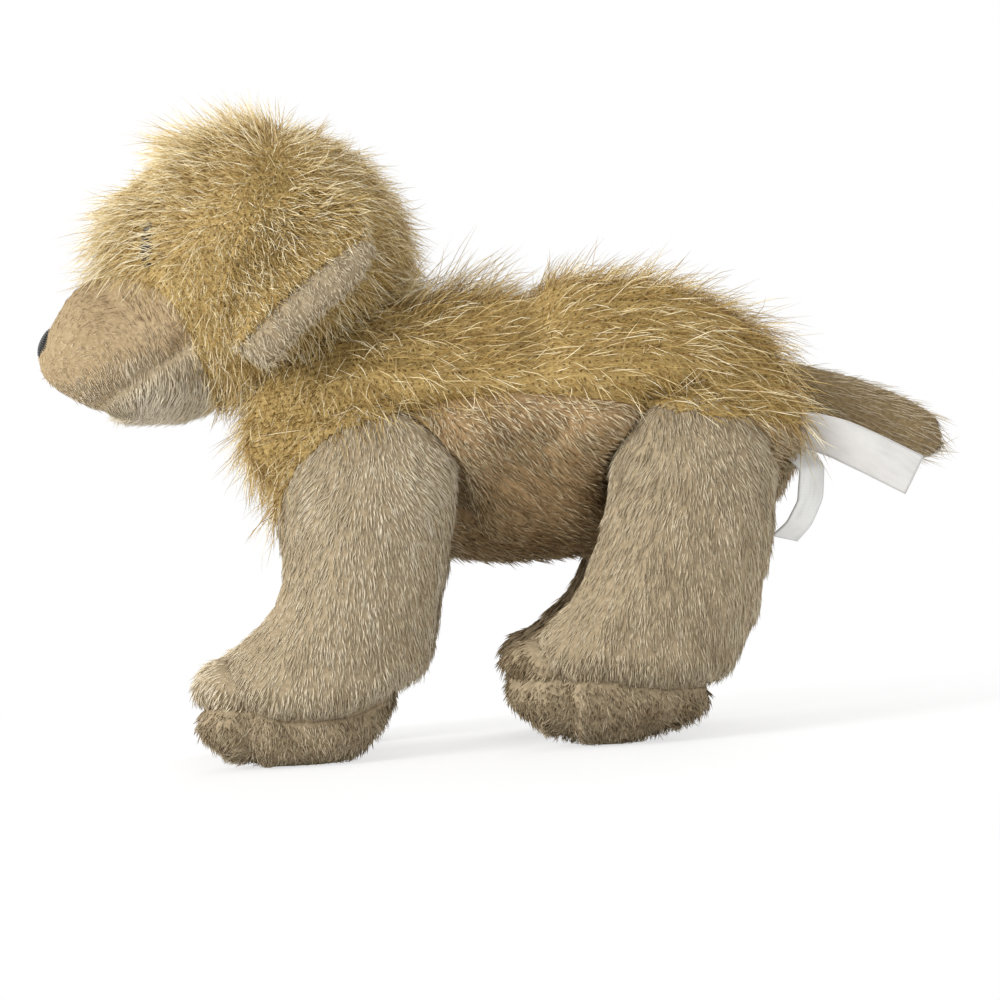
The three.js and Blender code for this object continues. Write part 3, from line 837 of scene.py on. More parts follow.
def growFur(name, mesh, coat, body, neighbours=None):
    values = {
        "Strand": strands[coat["rings"]],
        "Neighbours": neighbours or noNeighbour,
        "Material": coat["material"],
        "Density": coat["density"] * 1e6,
        "Length": coat["length"] * mm,
        "Thickness": coat["thickness"] * mm,
        "Root Lift": coat["lift"][0],
        "Tip Lift": coat["lift"][1],
        "Droop": coat["droop"],
        "Lock Density": coat["locks"] * 1e6,
        "Lock Pull": coat["pull"],
        "Sway": coat["sway"],
        "Tint Spread": coat["spread"],
        "Lock Spread": coat.get("lockSpread", coat["spread"] * 0.5),
        "Pale Highlight Share": coat.get("pale", 0.0),
        "Clearance": coat.get("clearance", 0.0) * mm,
        "Seed": coat["seed"],
    }
    made = grown(mesh.copy(), furTree, values, furSpent)
    placed(name, made, body)
    print("  fur", name, len(made.polygons), "faces")


# Skins of the stuffed sections

stuffing = {"relax": 6, "pressure": 4.0, "frames": 20}
torsoRecipe = {**stuffing, "voxel": 4.0, "swell": 2.2, "cap": 0.8}
headRecipe = {**stuffing, "relax": 8, "voxel": 3.0, "swell": 0.6, "cap": 0.5}
legRecipe = {**stuffing, "voxel": 3.6, "swell": 2.3, "cap": 0.7}

legNames = ["left_front", "right_front", "left_rear", "right_rear"]
torsoSkin = stuffedSkin(["torso_stuffing"], torsoRecipe)
headNodes = ["head_cover", "head_stuffing", "muzzle_cover", "muzzle_stuffing", "chin_panel"]
headSkin = stuffedSkin(headNodes, headRecipe)
legSkins = {name: stuffedSkin([name + "_leg_stuffing"], legRecipe) for name in legNames}
crownTuck = {"from": 60.0, "to": 90.0, "share": 0.6, "depth": 36.0}


def tuckCrown(mesh, plan):
    # The top of a leg is drawn in towards the flank that it is sewn to
    points = pointsOf(mesh)
    height = smoothStep((points[:, 2] / mm - plan["from"]) / (plan["to"] - plan["from"]))
    proud = np.maximum(np.abs(points[:, 1]) / mm - plan["depth"], 0)
    points[:, 1] -= np.sign(points[:, 1]) * proud * plan["share"] * height * mm
    setPoints(mesh, points)


shoulderFull = {"x": -52.0, "z": 66.0, "reach": (12.0, 16.0), "out": 4.0}


def fillShoulder(mesh, plan):
    # The front of a front leg swells under the chest
    points = pointsOf(mesh)
    along = (points[:, 0] / mm - plan["x"]) / plan["reach"][0]
    level = (points[:, 2] / mm - plan["z"]) / plan["reach"][1]
    points[:, 0] -= plan["out"] * mm * np.exp(-np.maximum(along, 0) ** 2 - level ** 2)
    setPoints(mesh, points)


for name, skin in legSkins.items():
    tuckCrown(skin, crownTuck)
    if "front" in name:
        fillShoulder(skin, shoulderFull)
print("skins stuffed")

torsoTree = treeOf(torsoSkin)
headTree = treeOf(headSkin)
legTrees = {name: treeOf(mesh) for name, mesh in legSkins.items()}


def neighbourhood(name, meshes):
    piece = loose(name, joined(meshes))
    helpers.append(piece)
    return piece


# Stuffing: matted fibre inside each cover
fillPlan = {"voxel": 4.5, "inset": 2.4, "rough": 1.0, "lump": 7.0}
muzzleFill = {**fillPlan, "voxel": 3.0, "inset": 1.6, "rough": 0.7}
legFill = {**fillPlan, "inset": 3.4}


def addFill(name, node, body, plan):
    mesh = remeshed(patternMesh([node]), plan["voxel"])
    setPoints(mesh, relaxed(pointsOf(mesh), edgesOf(mesh), 4))
    lumps = mottled(pointsOf(mesh), plan["lump"], 3) * 0.5 - 0.5
    moveOut(mesh, lumps * plan["rough"] - plan["inset"])
    addCover(name, mesh, fibreFill, body, [node])


addFill("torso_fill", "torso_stuffing", "torso", fillPlan)
addFill("head_fill", "head_stuffing", "head", fillPlan)
addFill("muzzle_fill", "muzzle_stuffing", "head", muzzleFill)
for legName in legNames:
    addFill(legName + "_fill", legName + "_leg_stuffing", legName + "_leg", legFill)


def wrapKnit(mesh, plan):
    # Rows of knit laid round the body's axis
    points = pointsOf(mesh)
    around = np.arctan2(points[:, 1], points[:, 2] - plan["axis"] * mm) * plan["girth"]
    setAttribute(mesh, "knit", np.stack([points[:, 0] / mm, around, around * 0], axis=1), "FLOAT_VECTOR")


# Torso: shaggy back over a plush belly
torsoPlan = {
    "seam": [(-66, 40), (-57, 58), (-54.5, 71), (-42, 83), (-26, 87), (-10, 90), (3, 91), (17, 89.5),
             (37, 86), (53, 82), (74, 78.5), (92, 76)],
    "groove": {"deep": 0.6, "wide": 2.4, "swell": 0.2},
    "flanks": [  # fullness of the sides, as middle x and z, reach along x and z, and mm outwards
        (10.0, 86.0, 33.0, 9.0, 8.5),
        (8.0, 93.5, 66.0, 10.0, 8.0),
        (-8.0, 82.0, 11.0, 9.5, 11.0),
        (27.0, 82.0, 11.0, 9.5, 11.0),
    ],
    "halfWidth": 26.0,  # mm to the side where the fullness is whole
    "capLift": 0.7,
    "capWall": 0.5,
    "wall": 1.4,
    "axis": 83.0,
    "girth": 34.0,
    "arch": {"middle": 9.0, "half": 19.0, "top": 76.0, "drop": 16.0, "blend": 8.0},  # edge of the belly, below which it is painted darker as shade in the hollow between the legs
    "archShadeTone": (0.25, 0.22),
    "furrow": 11.0,  # mm along the back, where the mane ends
    "furrowFrom": 90.0,
    "furrowBlend": 15.0,
    "furrowGroove": {"deep": 2.2, "wide": 4.5, "swell": 0.5},
    "guides": [
        (-66, -5, 90, -0.5, 0, -0.8, 0.9, 1.0),
        (-58, -15, 70, -0.4, 0, -0.9, 0.8, 1.0),
        (-55, -20, 105, 0.1, -0.2, -1, 0.8, 0.8),
        (-50, -32, 84, -0.35, -0.3, -0.8, 0.8, 0.9),
        (-45, -27, 95, 0.1, -0.3, -0.9, 0.9, 0.9),
        (-34, -40, 87, 0.2, -0.4, -0.8, 0.7, 1.0),
        (-46, -38, 80, -0.2, -0.4, -0.9, 0.7, 1.0),
        (-16, -38, 86, 0.5, -0.4, -0.7, 0.7, 1.0),
        (-32, -38, 97, 0.2, -0.3, -0.9, 0.6, 1.3),
        (-14, -38, 97, 0.5, -0.3, -0.8, 0.6, 1.3),
        (0, -40, 91, 0.6, -0.2, -0.75, 0.6, 1.1),
        (20, -40, 91, 0.6, -0.2, -0.75, 0.6, 1.0),
        (46, -38, 95, 0.4, -0.3, -0.85, 0.6, 1.2),
        (62, -36, 92, 0.5, -0.3, -0.8, 0.6, 1.2),
        (-30, -30, 100, 0.5, -0.3, -0.7, 0.9, 1.0),
        (-20, -20, 112, 0.9, 0, 0.2, 1.1, 1.2),
        (-14, -6, 116, 0.75, 0, 0.65, 1.9, 1.7),
        (-12, -31, 95, 0.9, -0.2, -0.45, 0.8, 1.0),
        (0, -14, 115, 0.9, 0, 0.2, 0.9, 1.0),
        (2, -32, 98, 1, -0.1, -0.1, 0.7, 1.0),
        (12, -18, 113, 0.8, 0, 0.5, 0.9, 0.6),
        (14, -33, 95, 0.9, 0, 0.0, 0.7, 0.7),
        (24, -10, 119, 0.9, 0, 0.4, 1.7, 0.9),
        (36, -12, 120, 0.95, 0, 0.3, 1.5, 0.9),
        (31, -34, 95, 1, 0, -0.15, 0.7, 0.9),
        (52, -12, 115, 1, 0, 0, 0.9, 0.9),
        (54, -30, 95, 0.95, -0.1, -0.3, 0.7, 1.0),
        (50, -40, 85, 0.6, -0.4, -0.6, 0.7, 1.0),
        (68, -36, 80, 0.7, -0.3, -0.6, 0.7, 1.0),
        (70, -10, 102, 0.95, 0, -0.15, 0.9, 1.4),
        (78, -6, 92, 0.95, 0, -0.2, 0.8, 1.3),
        (74, -18, 84, 0.8, -0.2, -0.5, 0.7, 1.1),
    ],
    "bellyGuides": [
        (-40, -10, 55, 0.9, 0, -0.2, 1, 1),
        (0, -30, 75, 0.6, 0, -0.8, 1, 1),
        (10, -10, 48, 1, 0, 0, 1, 1),
        (30, -25, 60, 0.8, 0, -0.6, 1, 1),
        (70, -15, 70, 0.6, 0, -0.8, 1, 1),
    ],
}
# In these coats pale is the share of pale strands, which also serve as painted highlights
longShag = {
    "rings": 3, "material": shagFibre, "density": 0.3, "length": 14.5, "thickness": 0.1, "lift": (0.75, 0.22),
    "droop": 0.14, "locks": 0.14, "pull": 0.5, "sway": 0.66, "spread": 0.34, "pale": 0.36, "clearance": 1.2,
    "seed": 11,
}
underShag = {
    "rings": 2, "material": shagFibre, "density": 0.8, "length": 4.6, "thickness": 0.09, "lift": (0.9, 0.5),
    "droop": 0.05, "locks": 0.4, "pull": 0.4, "sway": 0.8, "spread": 0.3, "pale": 0.12, "clearance": 0.6,
    "seed": 12,
}
bellyPile = {
    "rings": 2, "material": bellyFibre, "density": 0.86, "length": 4.8, "thickness": 0.204,
    "lift": (0.6, 0.2), "droop": 0.05, "locks": 0.14, "pull": 0.5, "sway": 0.3, "spread": 0.36,
    "lockSpread": 0.14, "seed": 13,
}


# Slope of the tight cloth, its depth under a leg's rim and under its flat, and the heights it sets in between
bridgePlan = {"slope": 0.8, "under": 0.8, "hidden": 4.0, "blend": 3.0, "from": 66.0, "to": 79.0,
              "own": 8.0, "rim": 24.0, "batches": 40}


def bridged(mesh, plan):
    # Cloth drawn tight over the hollows where the legs are sewn on; it stays well under the flat of a leg
    points = pointsOf(mesh) / mm
    start = points.copy()
    sources = [start] + [pointsOf(skin) / mm for skin in legSkins.values()]
    nowhere = -99.0
    for side in (-1, 1):
        own = np.nonzero(start[:, 1] * side > plan["own"])[0]
        high = np.vstack([s[(s[:, 1] * side > plan["rim"]) & (s[:, 2] > plan["from"] - 6)] for s in sources])
        trees = [legTrees[name] for name in legNames if name.startswith("left" if side < 0 else "right")]
        for some in np.array_split(own, plan["batches"]):
            away = np.hypot(start[some, None, 0] - high[:, 0], start[some, None, 2] - high[:, 2])
            tight = (high[:, 1] * side - plan["slope"] * away).max(axis=1)
            leg = np.full(len(some), nowhere)
            for i, (x, _, z) in enumerate(start[some]):
                for tree in trees:
                    hit = tree.ray_cast(Vector((x * mm, side * 0.1, z * mm)), Vector((0, -side, 0)))[0]
                    leg[i] = max(leg[i], hit.y * side / mm if hit else nowhere)
            tight -= plan["under"] + plan["hidden"] * (1 - smoothStep((tight - leg) / plan["blend"]))
            share = smoothStep((start[some, 2] - plan["from"]) / (plan["to"] - plan["from"]))
            points[some, 1] += side * share * np.maximum(tight - start[some, 1] * side, 0)
    moved = np.abs(points - start).max(axis=1) > 0.4
    eased = relaxed(points, edgesOf(mesh), 2)
    points[moved] = eased[moved]
    setPoints(mesh, points * mm)


def makeTorso(plan):
    mesh = torsoSkin
    seam = seamHeight(plan["seam"])

    def aboveSeam(points):
        return points[:, 2] / mm - seam(points[:, 0] / mm)

    points = pointsOf(mesh)
    side = points[:, 1] / mm / plan["halfWidth"]
    full = np.zeros(len(points))
    for x, z, reach, rise, out in plan["flanks"]:
        along, level = (points[:, 0] / mm - x) / reach, (points[:, 2] / mm - z) / rise
        full = np.maximum(full, out * np.exp(-along ** 4 - level ** 2))
    points[:, 1] += np.clip(side, -1, 1) * full * mm
    setPoints(mesh, points)
    bridged(mesh, bridgePlan)
    pinched(mesh, aboveSeam(pointsOf(mesh)), plan["groove"])
    tightTree = treeOf(mesh)
    points = pointsOf(mesh)
    upper = np.clip((points[:, 2] / mm - plan["furrowFrom"]) / plan["furrowBlend"], 0, 1)
    pinched(mesh, points[:, 0] / mm - plan["furrow"], {**plan["furrowGroove"], "share": upper})
    splitAlong(mesh, aboveSeam)
    back = panelOf(mesh, lambda c: aboveSeam(c) > 0)
    belly = panelOf(mesh, lambda c: aboveSeam(c) <= 0)

    bare = crowded(pointsOf(back), [headTree, *legTrees.values()], gap=0.6)

    # The gold cloth also lies over the crown of each leg
    def onCrown(points):
        return (aboveSeam(points) > 0) & ~crowded(points, [tightTree], gap=0.0)

    caps = [panelOf(skin, onCrown) for skin in legSkins.values()]
    for cap in caps:
        moveOut(cap, plan["capLift"])
    cover = joined([thickened(back, plan["wall"]), *[thickened(cap, plan["capWall"]) for cap in caps]])
    back = joined([back, *caps])
    bare = np.concatenate([bare, np.zeros(len(back.vertices) - len(bare), dtype=bool)])
    wrapKnit(cover, plan)
    addCover("back_cover", cover, shagKnit, "torso", ["back_panel"])
    addCover("belly_cover", thickened(belly, plan["wall"]), bellyNap, "torso", ["belly_panel"])

    combPanel(back, plan["guides"], bare, tone=0.34, mottle=0.14, seed=5)
    around = neighbourhood("torso_neighbours", [headSkin, *legSkins.values()])
    growFur("back_undercoat", back, underShag, "torso", around)
    growFur("back_fur", back, longShag, "torso", around)
    bare = crowded(pointsOf(belly), list(legTrees.values()), gap=1.2)
    points = pointsOf(belly) / mm
    arch = plan["arch"]
    edge = arch["top"] - ((points[:, 0] - arch["middle"]) / arch["half"]) ** 4 * arch["drop"]
    low, more = plan["archShadeTone"]
    # Below the arch edge the belly's tone drops: painted shade in the hollow between the legs
    tone = low + more * np.clip((points[:, 2] - edge) / arch["blend"] + 0.5, 0, 1)
    streak = (0.16, (5.0, 3.0, 5.0))
    combPanel(belly, plan["bellyGuides"], bare, tone, mottle=0.12, seed=7, streak=streak)
    growFur("belly_pile", belly, bellyPile, "torso", around)
    print("torso made")


makeTorso(torsoPlan)


# Neck: the gusset inside the collar, and its ring of thread
neckPlan = {"voxel": 0.7}


def makeNeck(plan):
    mesh = remeshed(patternMesh(["neck_gusset"]), plan["voxel"])
    setPoints(mesh, relaxed(pointsOf(mesh), edgesOf(mesh), 2))
    addCover("neck_lining", mesh, plushNap, "neck", ["neck_gusset"])
    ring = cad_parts["neck_seam_thread"]
    ring.data.materials.clear()
    ring.data.materials.append(goldThread)
    print("neck made")


makeNeck(neckPlan)


# Lie of the ears: the seam at the back edge, and the front edge that is lost in the fur, as x and z
earPlan = {
    "rows": 40,
    "middle": (-45.0, 125.0),
    "span": 20.0,
    "rear": [(-34, 143), (-30.3, 139), (-28.3, 133.4), (-37, 128), (-45.7, 122), (-54, 115), (-61.7, 107.4)],
    "front": [(-44, 148), (-53, 145), (-59, 139), (-64, 131), (-67.5, 122), (-68.5, 114), (-65.5, 108.3)],
    "off": 0.6,
    "guides": [
        (-42, -34, 144, 0.6, -0.3, -0.1, 1.2, 1.1),
        (-32, -34, 138, 0.9, -0.2, -0.3, 0.8, 1.3),
        (-38, -36, 131, 0.6, -0.3, -0.7, 0.8, 0.9),
        (-54, -38, 132, 0.1, -0.4, -0.3, 1.8, 0.8),
        (-48, -40, 122, 0.55, -0.3, -0.8, 0.8, 0.9),
        (-62, -41, 116, 0.4, -0.3, -0.6, 1.2, 0.8),
    ],
    "liningGuides": [
        (-30, -36, 130, 0.6, -0.4, -0.7, 1, 1),
        (-42, -40, 118, 0.3, -0.4, -0.9, 1, 1),
        (-55, -40, 106, 0.6, -0.4, -0.6, 1, 1.2),
        (-61, -40, 103, -0.3, -0.3, -0.9, 1, 1.3),
    ],
    "trim": 9.0,  # mm from the seam over which the fur is clipped shorter
}


# Head: a shaggy cover, with a short-pile muzzle and chin
headPlan = {
    "guides": [
        (-74, -6, 161, -0.95, 0, 0.1, 1.1, 1.7),
        (-70, -20, 157, -0.95, 0, 0.1, 1.0, 1.6),
        (-61, -8, 166, -0.4, 0, 0.9, 2.2, 1.1),
        (-85, -6, 154, -1, 0, -0.6, 0.2, 0.2),
        (-82, -10, 157, -1, 0, -0.4, 0.2, 0.2),
        (-83, -18, 152.5, -1, 0, -0.6, 0.2, 0.25),
        (-89, -6, 147.5, -1, 0, -0.3, 1.2, 1.5),
        (-84, -20, 146, -1, 0, -0.1, 1.1, 1.5),
        (-94, -6, 141, -0.95, 0, -0.3, 1.6, 1.4),
        (-97, -6, 134, -0.85, 0, -0.45, 1.0, 1.4),
        (-93, -18, 130, -0.7, 0, -0.6, 1.0, 0.9),
        (-80, -31, 135, -0.8, 0, -0.15, 0.7, 1.1),
        (-46, -10, 162, 0.7, 0, 0.1, 0.7, 0.6),
        (-36, -22, 152, 0.9, 0, -0.1, 0.4, 0.9),
        (-24, -14, 143, 0.95, 0, -0.1, 0.5, 0.9),
        (-24, -14, 128, 0.9, 0, -0.3, 0.8, 0.9),
        (-72, -33, 146, -0.2, -0.3, 0.2, 2.0, 0.7),
        (-56, -37, 139, 0.0, -0.3, -0.3, 2.2, 0.6),
        (-70, -36, 130, 0.1, -0.3, -0.3, 2.0, 0.6),
        (-84, -29, 136, -0.4, 0, 0.1, 1.4, 0.6),
        (-79, -30, 123, 0.2, 0, -0.8, 1.2, 0.45),
        (-74, -30, 112, 0.2, 0, -0.9, 1.0, 0.6),
        (-64, -33, 110, 0.3, -0.2, -0.8, 1.0, 0.8),
        (-45, -34, 125, 0.5, -0.2, -0.6, 0.9, 0.9),
    ],
    "muzzleGuides": [
        (-117, 0, 112, 0.6, 0, 0.7, 0.7, 0.6),
        (-108, -14, 113, 0.8, 0, 0.3, 0.8, 0.8),
        (-95, -19, 115, 0.7, 0, -0.4, 0.9, 1.0),
        (-84, -20, 119, 0.6, 0, -0.7, 0.9, 1.1),
        (-84, -20, 110, 0.2, 0, -1, 1.0, 1.5),
        (-94, -19, 105, 0.1, 0, -1, 1.0, 1.5),
        (-104, -12, 100, 0, 0, -1, 1.0, 1.3),
        (-100, 0, 126, 0.9, 0, 0.3, 0.7, 0.7),
        (-85, -17, 98, -0.4, 0, -0.9, 1.1, 1.5),
        (-92, 0, 91, -0.6, 0, -0.6, 1.0, 1.4),
        (-105, -8, 98, 0.1, 0, -0.9, 0.9, 0.9),
    ],
    # Where the short pile ends, as x over z
    "muzzleEdge": [(86, -66), (95, -71.5), (104, -74.5), (113, -77), (119, -79.5), (124, -84), (127, -90),
                   (129.5, -97), (131.5, -106)],
    "tuft": {"place": (-86.0, 154.0), "reach": (13.0, 12.0), "more": 1.4, "tone": 0.06},  # over the brow
    "muzzleTone": {"level": 116.0, "at": 0.24, "reach": 34.0, "least": 0.18, "most": 0.7},  # paler downwards
    "underEar": 0.35,  # share of the pile's length that is left under an ear
    "cheek": {"place": (-103, 0, 123), "reach": 12.0, "out": 3.4},  # fullness on top of the muzzle
    "wall": 1.3,
    "muzzleWall": 1.2,
    "axis": 131.0,
    "girth": 36.0,
    "mouthCorner": (-79.2, 108.6),
    "mouthLean": 28.4,
    "mouthGroove": {"deep": 0.8, "wide": 2.6, "swell": 0.3},
}
headShag = {**longShag, "density": 0.62, "length": 11.0, "thickness": 0.095, "lift": (0.9, 0.5), "sway": 0.66,
            "droop": 0.05, "locks": 0.12, "pull": 0.7, "seed": 21}
headUnder = {**underShag, "density": 1.6, "seed": 22, "sway": 0.9, "lift": (0.8, 0.5)}
muzzlePile = {
    "rings": 2, "material": muzzleFibre, "density": 2.6, "length": 3.4, "thickness": 0.14,
    "lift": (0.26, 0.03), "droop": 0.03, "locks": 0.2, "pull": 0.4, "sway": 0.16, "spread": 0.08,
    "lockSpread": 0.06, "seed": 23,
}
chinPile = {**muzzlePile, "material": plushFibre, "density": 2.4, "length": 4.0, "lift": (0.4, 0.1),
            "seed": 24}


def makeHead(plan):
    mesh = headSkin
    heights, edge = np.array(plan["muzzleEdge"], dtype=float).T
    lean = math.radians(plan["mouthLean"])
    corner = np.array([plan["mouthCorner"][0], 0, plan["mouthCorner"][1]]) * mm
    toChin = np.array([math.sin(lean), 0, -math.cos(lean)])

    def muzzleSide(points):
        return np.interp(points[:, 2] / mm, heights, edge) - points[:, 0] / mm

    def chinSide(points):
        return (points - corner) @ toChin / mm

    cheek = plan["cheek"]
    toCheek = np.linalg.norm(pointsOf(mesh) / mm - np.array(cheek["place"]), axis=1) / cheek["reach"]
    moveOut(mesh, cheek["out"] * np.exp(-toCheek ** 2))
    points = pointsOf(mesh)
    # The mouth is deeper at the sides, and ends just past the muzzle
    atSide = np.clip(np.abs(points[:, 1]) / mm / 14, 0.25, 1) * (muzzleSide(points) > -4)
    pinched(mesh, chinSide(points), {**plan["mouthGroove"], "share": atSide})
    splitAlong(mesh, muzzleSide)
    splitAlong(mesh, chinSide)
    gold = panelOf(mesh, lambda c: muzzleSide(c) <= 0)
    upper = panelOf(mesh, lambda c: (muzzleSide(c) > 0) & (chinSide(c) < 0))
    lower = panelOf(mesh, lambda c: (muzzleSide(c) > 0) & (chinSide(c) >= 0))
    wrapKnit(gold, plan)
    thin = plan["muzzleWall"]
    addCover("head_skin", thickened(gold, plan["wall"]), shagKnit, "head", ["head_cover"])
    addCover("muzzle_skin", thickened(upper, thin), muzzleNap, "head", ["muzzle_cover"])
    addCover("chin_skin", thickened(lower, thin), plushNap, "head", ["chin_panel"])

    points = pointsOf(gold)
    bare = crowded(points, [torsoTree], gap=0.8)
    tuft = plan["tuft"]
    toTuft = (points[:, ::2] / mm - np.array(tuft["place"])) / np.array(tuft["reach"])
    tufted = np.exp(-toTuft[:, 0] ** 2 - toTuft[:, 1] ** 2)
    combPanel(gold, plan["guides"], bare, 0.54 + tuft["tone"] * tufted, mottle=0.14, seed=9)
    setAttribute(gold, "cover", np.where(bare, 0, 1 + tuft["more"] * tufted))
    earOutline = np.array(earPlan["rear"] + earPlan["front"][::-1], dtype=float)
    underEar = withinOutline(points[:, ::2] / mm, earOutline) & (np.abs(points[:, 1]) > 20 * mm)
    shorten(gold, np.where(underEar, plan["underEar"], 1))
    growFur("head_fur", gold, headShag, "head")
    for side, far in (("left", points[:, 1] > 0), ("right", points[:, 1] <= 0)):
        setAttribute(gold, "cover", ~(bare | far))
        growFur("head_undercoat_" + side, gold, headUnder, "head")
    shade = plan["muzzleTone"]
    streak = (0.16, (8.0, 6.0, 3.0))
    for part, panel, pile, seed in (("muzzle", upper, muzzlePile, 31), ("chin", lower, chinPile, 33)):
        points = pointsOf(panel)
        below = (shade["level"] - points[:, 2] / mm) / shade["reach"]
        tone = np.clip(shade["at"] + below, shade["least"], shade["most"])
        bare = crowded(points, [torsoTree], gap=0.5)
        combPanel(panel, plan["muzzleGuides"], bare, tone, 0.14, seed, streak)
        growFur(part + "_pile", panel, pile, "head")
    print("head made")


makeHead(headPlan)


# Nose and eyes: satin stitches side by side over a pad
stitchInputs = {
    "Thread": "Object",
    "Material": "Material",
    "Count": "Int",
    **dict.fromkeys(["Half Across", "Half Tall", "Dome"], "Float"),
}


def makeStitchTree():
    bench, given = newTree("satin_stitches", stitchInputs)
    across, tall, dome = given.of("Half Across"), given.of("Half Tall"), given.of("Dome")
    sockets = {"Count": given.of("Count"), "Start Location": (0, 0, 0), "Offset": (0, 1, 0)}
    line = bench.node("GeometryNodeMeshLine", {"mode": "OFFSET"}, sockets, "Mesh")
    number = bench.node("GeometryNodeInputIndex")
    line = bench.store(line, "level", (number + 0.5) / given.of("Count") * 2 - 1)
    thread = bench.shape(given.of("Thread"))
    sewn = bench.node("GeometryNodeInstanceOnPoints", {}, {"Points": line, "Instance": thread})
    sewn = bench.node("GeometryNodeRealizeInstances", {}, {"Geometry": sewn})
    level, along = bench.named("level"), bench.named("along")
    ring = bench.split(bench.arrow("ring"))
    reach = (1 - level * level).atLeast(0.02).power(0.5)
    thick = tall / given.of("Count") * 1.35
    bulge = (1 - level * level - along * along * reach * reach).atLeast(0.0).power(0.5)
    place = bench.combine(
        X=along * reach * across, Y=level * tall + ring * thick, Z=bulge * dome + ring.of("Y") * thick
    )
    return closeTree(bench, sewn, place, given.of("Material"))


def threadMesh():
    # A length of thread from -1 to 1, six sides, drawn in at both ends
    steps, sides = 9, 6
    points, along, ring, faces = [], [], [], []
    for step in range(steps):
        share = 2 * step / (steps - 1) - 1
        wide = (1 - share ** 4 * 0.8)
        for side in range(sides):
            turn = 2 * math.pi * side / sides
            points.append((share * mm, math.cos(turn) * mm * 0.1, math.sin(turn) * mm * 0.1))
            along.append(share)
            ring.append((math.cos(turn) * wide, math.sin(turn) * wide, 0))
            a, b = step * sides + side, step * sides + (side + 1) % sides
            if step:
                faces.append((a - sides, b - sides, b, a))
    faces.append(tuple(reversed(range(sides))))
    faces.append(tuple(range((steps - 1) * sides, steps * sides)))
    mesh = facedOut(plainMesh("satin_thread", points, faces))
    setAttribute(mesh, "along", along)
    setAttribute(mesh, "ring", ring, "FLOAT_VECTOR")
    return loose("satin_thread", mesh)


stitchTree = makeStitchTree()
satinThread = threadMesh()
helpers.append(satinThread)


def addStitches(name, node, body, look, facing, material):
    # facing is the way that the pad looks; its stitches run across the toy
    pad = plainMesh("pad", [(0, 0, 0), (mm, 0, 0), (0, mm, 0)], [(0, 1, 2)])
    values = {
        "Thread": satinThread,
        "Material": material,
        "Count": look["count"],
        "Half Across": look["across"] * mm,
        "Half Tall": look["tall"] * mm,
        "Dome": look["dome"] * mm,
    }
    made = grown(pad, stitchTree, values, ["level", "along", "ring"])
    ahead = Vector(facing).normalized()
    aside = Vector((0, 0, 1)).cross(ahead).normalized()
    upward = ahead.cross(aside)
    low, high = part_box(node)
    middle = (Vector(low) + Vector(high)) / 2 + Vector(look.get("shift", (0, 0, 0))) * mm
    laid = []
    for across, level, lift in pointsOf(made):
        spot = middle + aside * across + upward * level
        hit = faceTree.ray_cast(spot + ahead * 20 * mm, -ahead)[0]
        laid.append((hit or spot) + ahead * (lift - look["sunk"] * mm))
    setPoints(made, np.array(laid))
    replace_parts(placed(name, made, body), node)


faceTree = treeOf(headSkin)
noseLook = {"count": 14, "across": 9.4, "tall": 4.2, "dome": 1.0, "sunk": 0.2}
eyeLook = {"count": 12, "across": 2.3, "tall": 6.0, "dome": 0.8, "sunk": 0.3, "shift": (5.0, 0, 0.2),
           "turn": math.radians(42)}
addStitches("nose_stitches", "nose", "head", noseLook, (-0.857, 0, 0.515), blackSatin)
for side, out in (("left", -1), ("right", 1)):
    facing = (-math.cos(eyeLook["turn"]), out * math.sin(eyeLook["turn"]), 0.0)
    addStitches(side + "_eye_stitches", side + "_eye", "head", eyeLook, facing, brownSatin)
print("face made")


# Ears: shaggy outside, plush lining that rolls out along the seam at the back edge
earShag = {**headShag, "density": 1.2, "length": 9.5, "lift": (0.7, 0.25), "seed": 41, "sway": 0.55}
earUnder = {**headUnder, "density": 3.2, "length": 5.0, "seed": 42, "sway": 0.6}
earPile = {**muzzlePile, "material": plushFibre, "density": 1.9, "length": 3.2, "lift": (0.6, 0.3),
           "sway": 0.45, "pull": 0.6, "seed": 43}


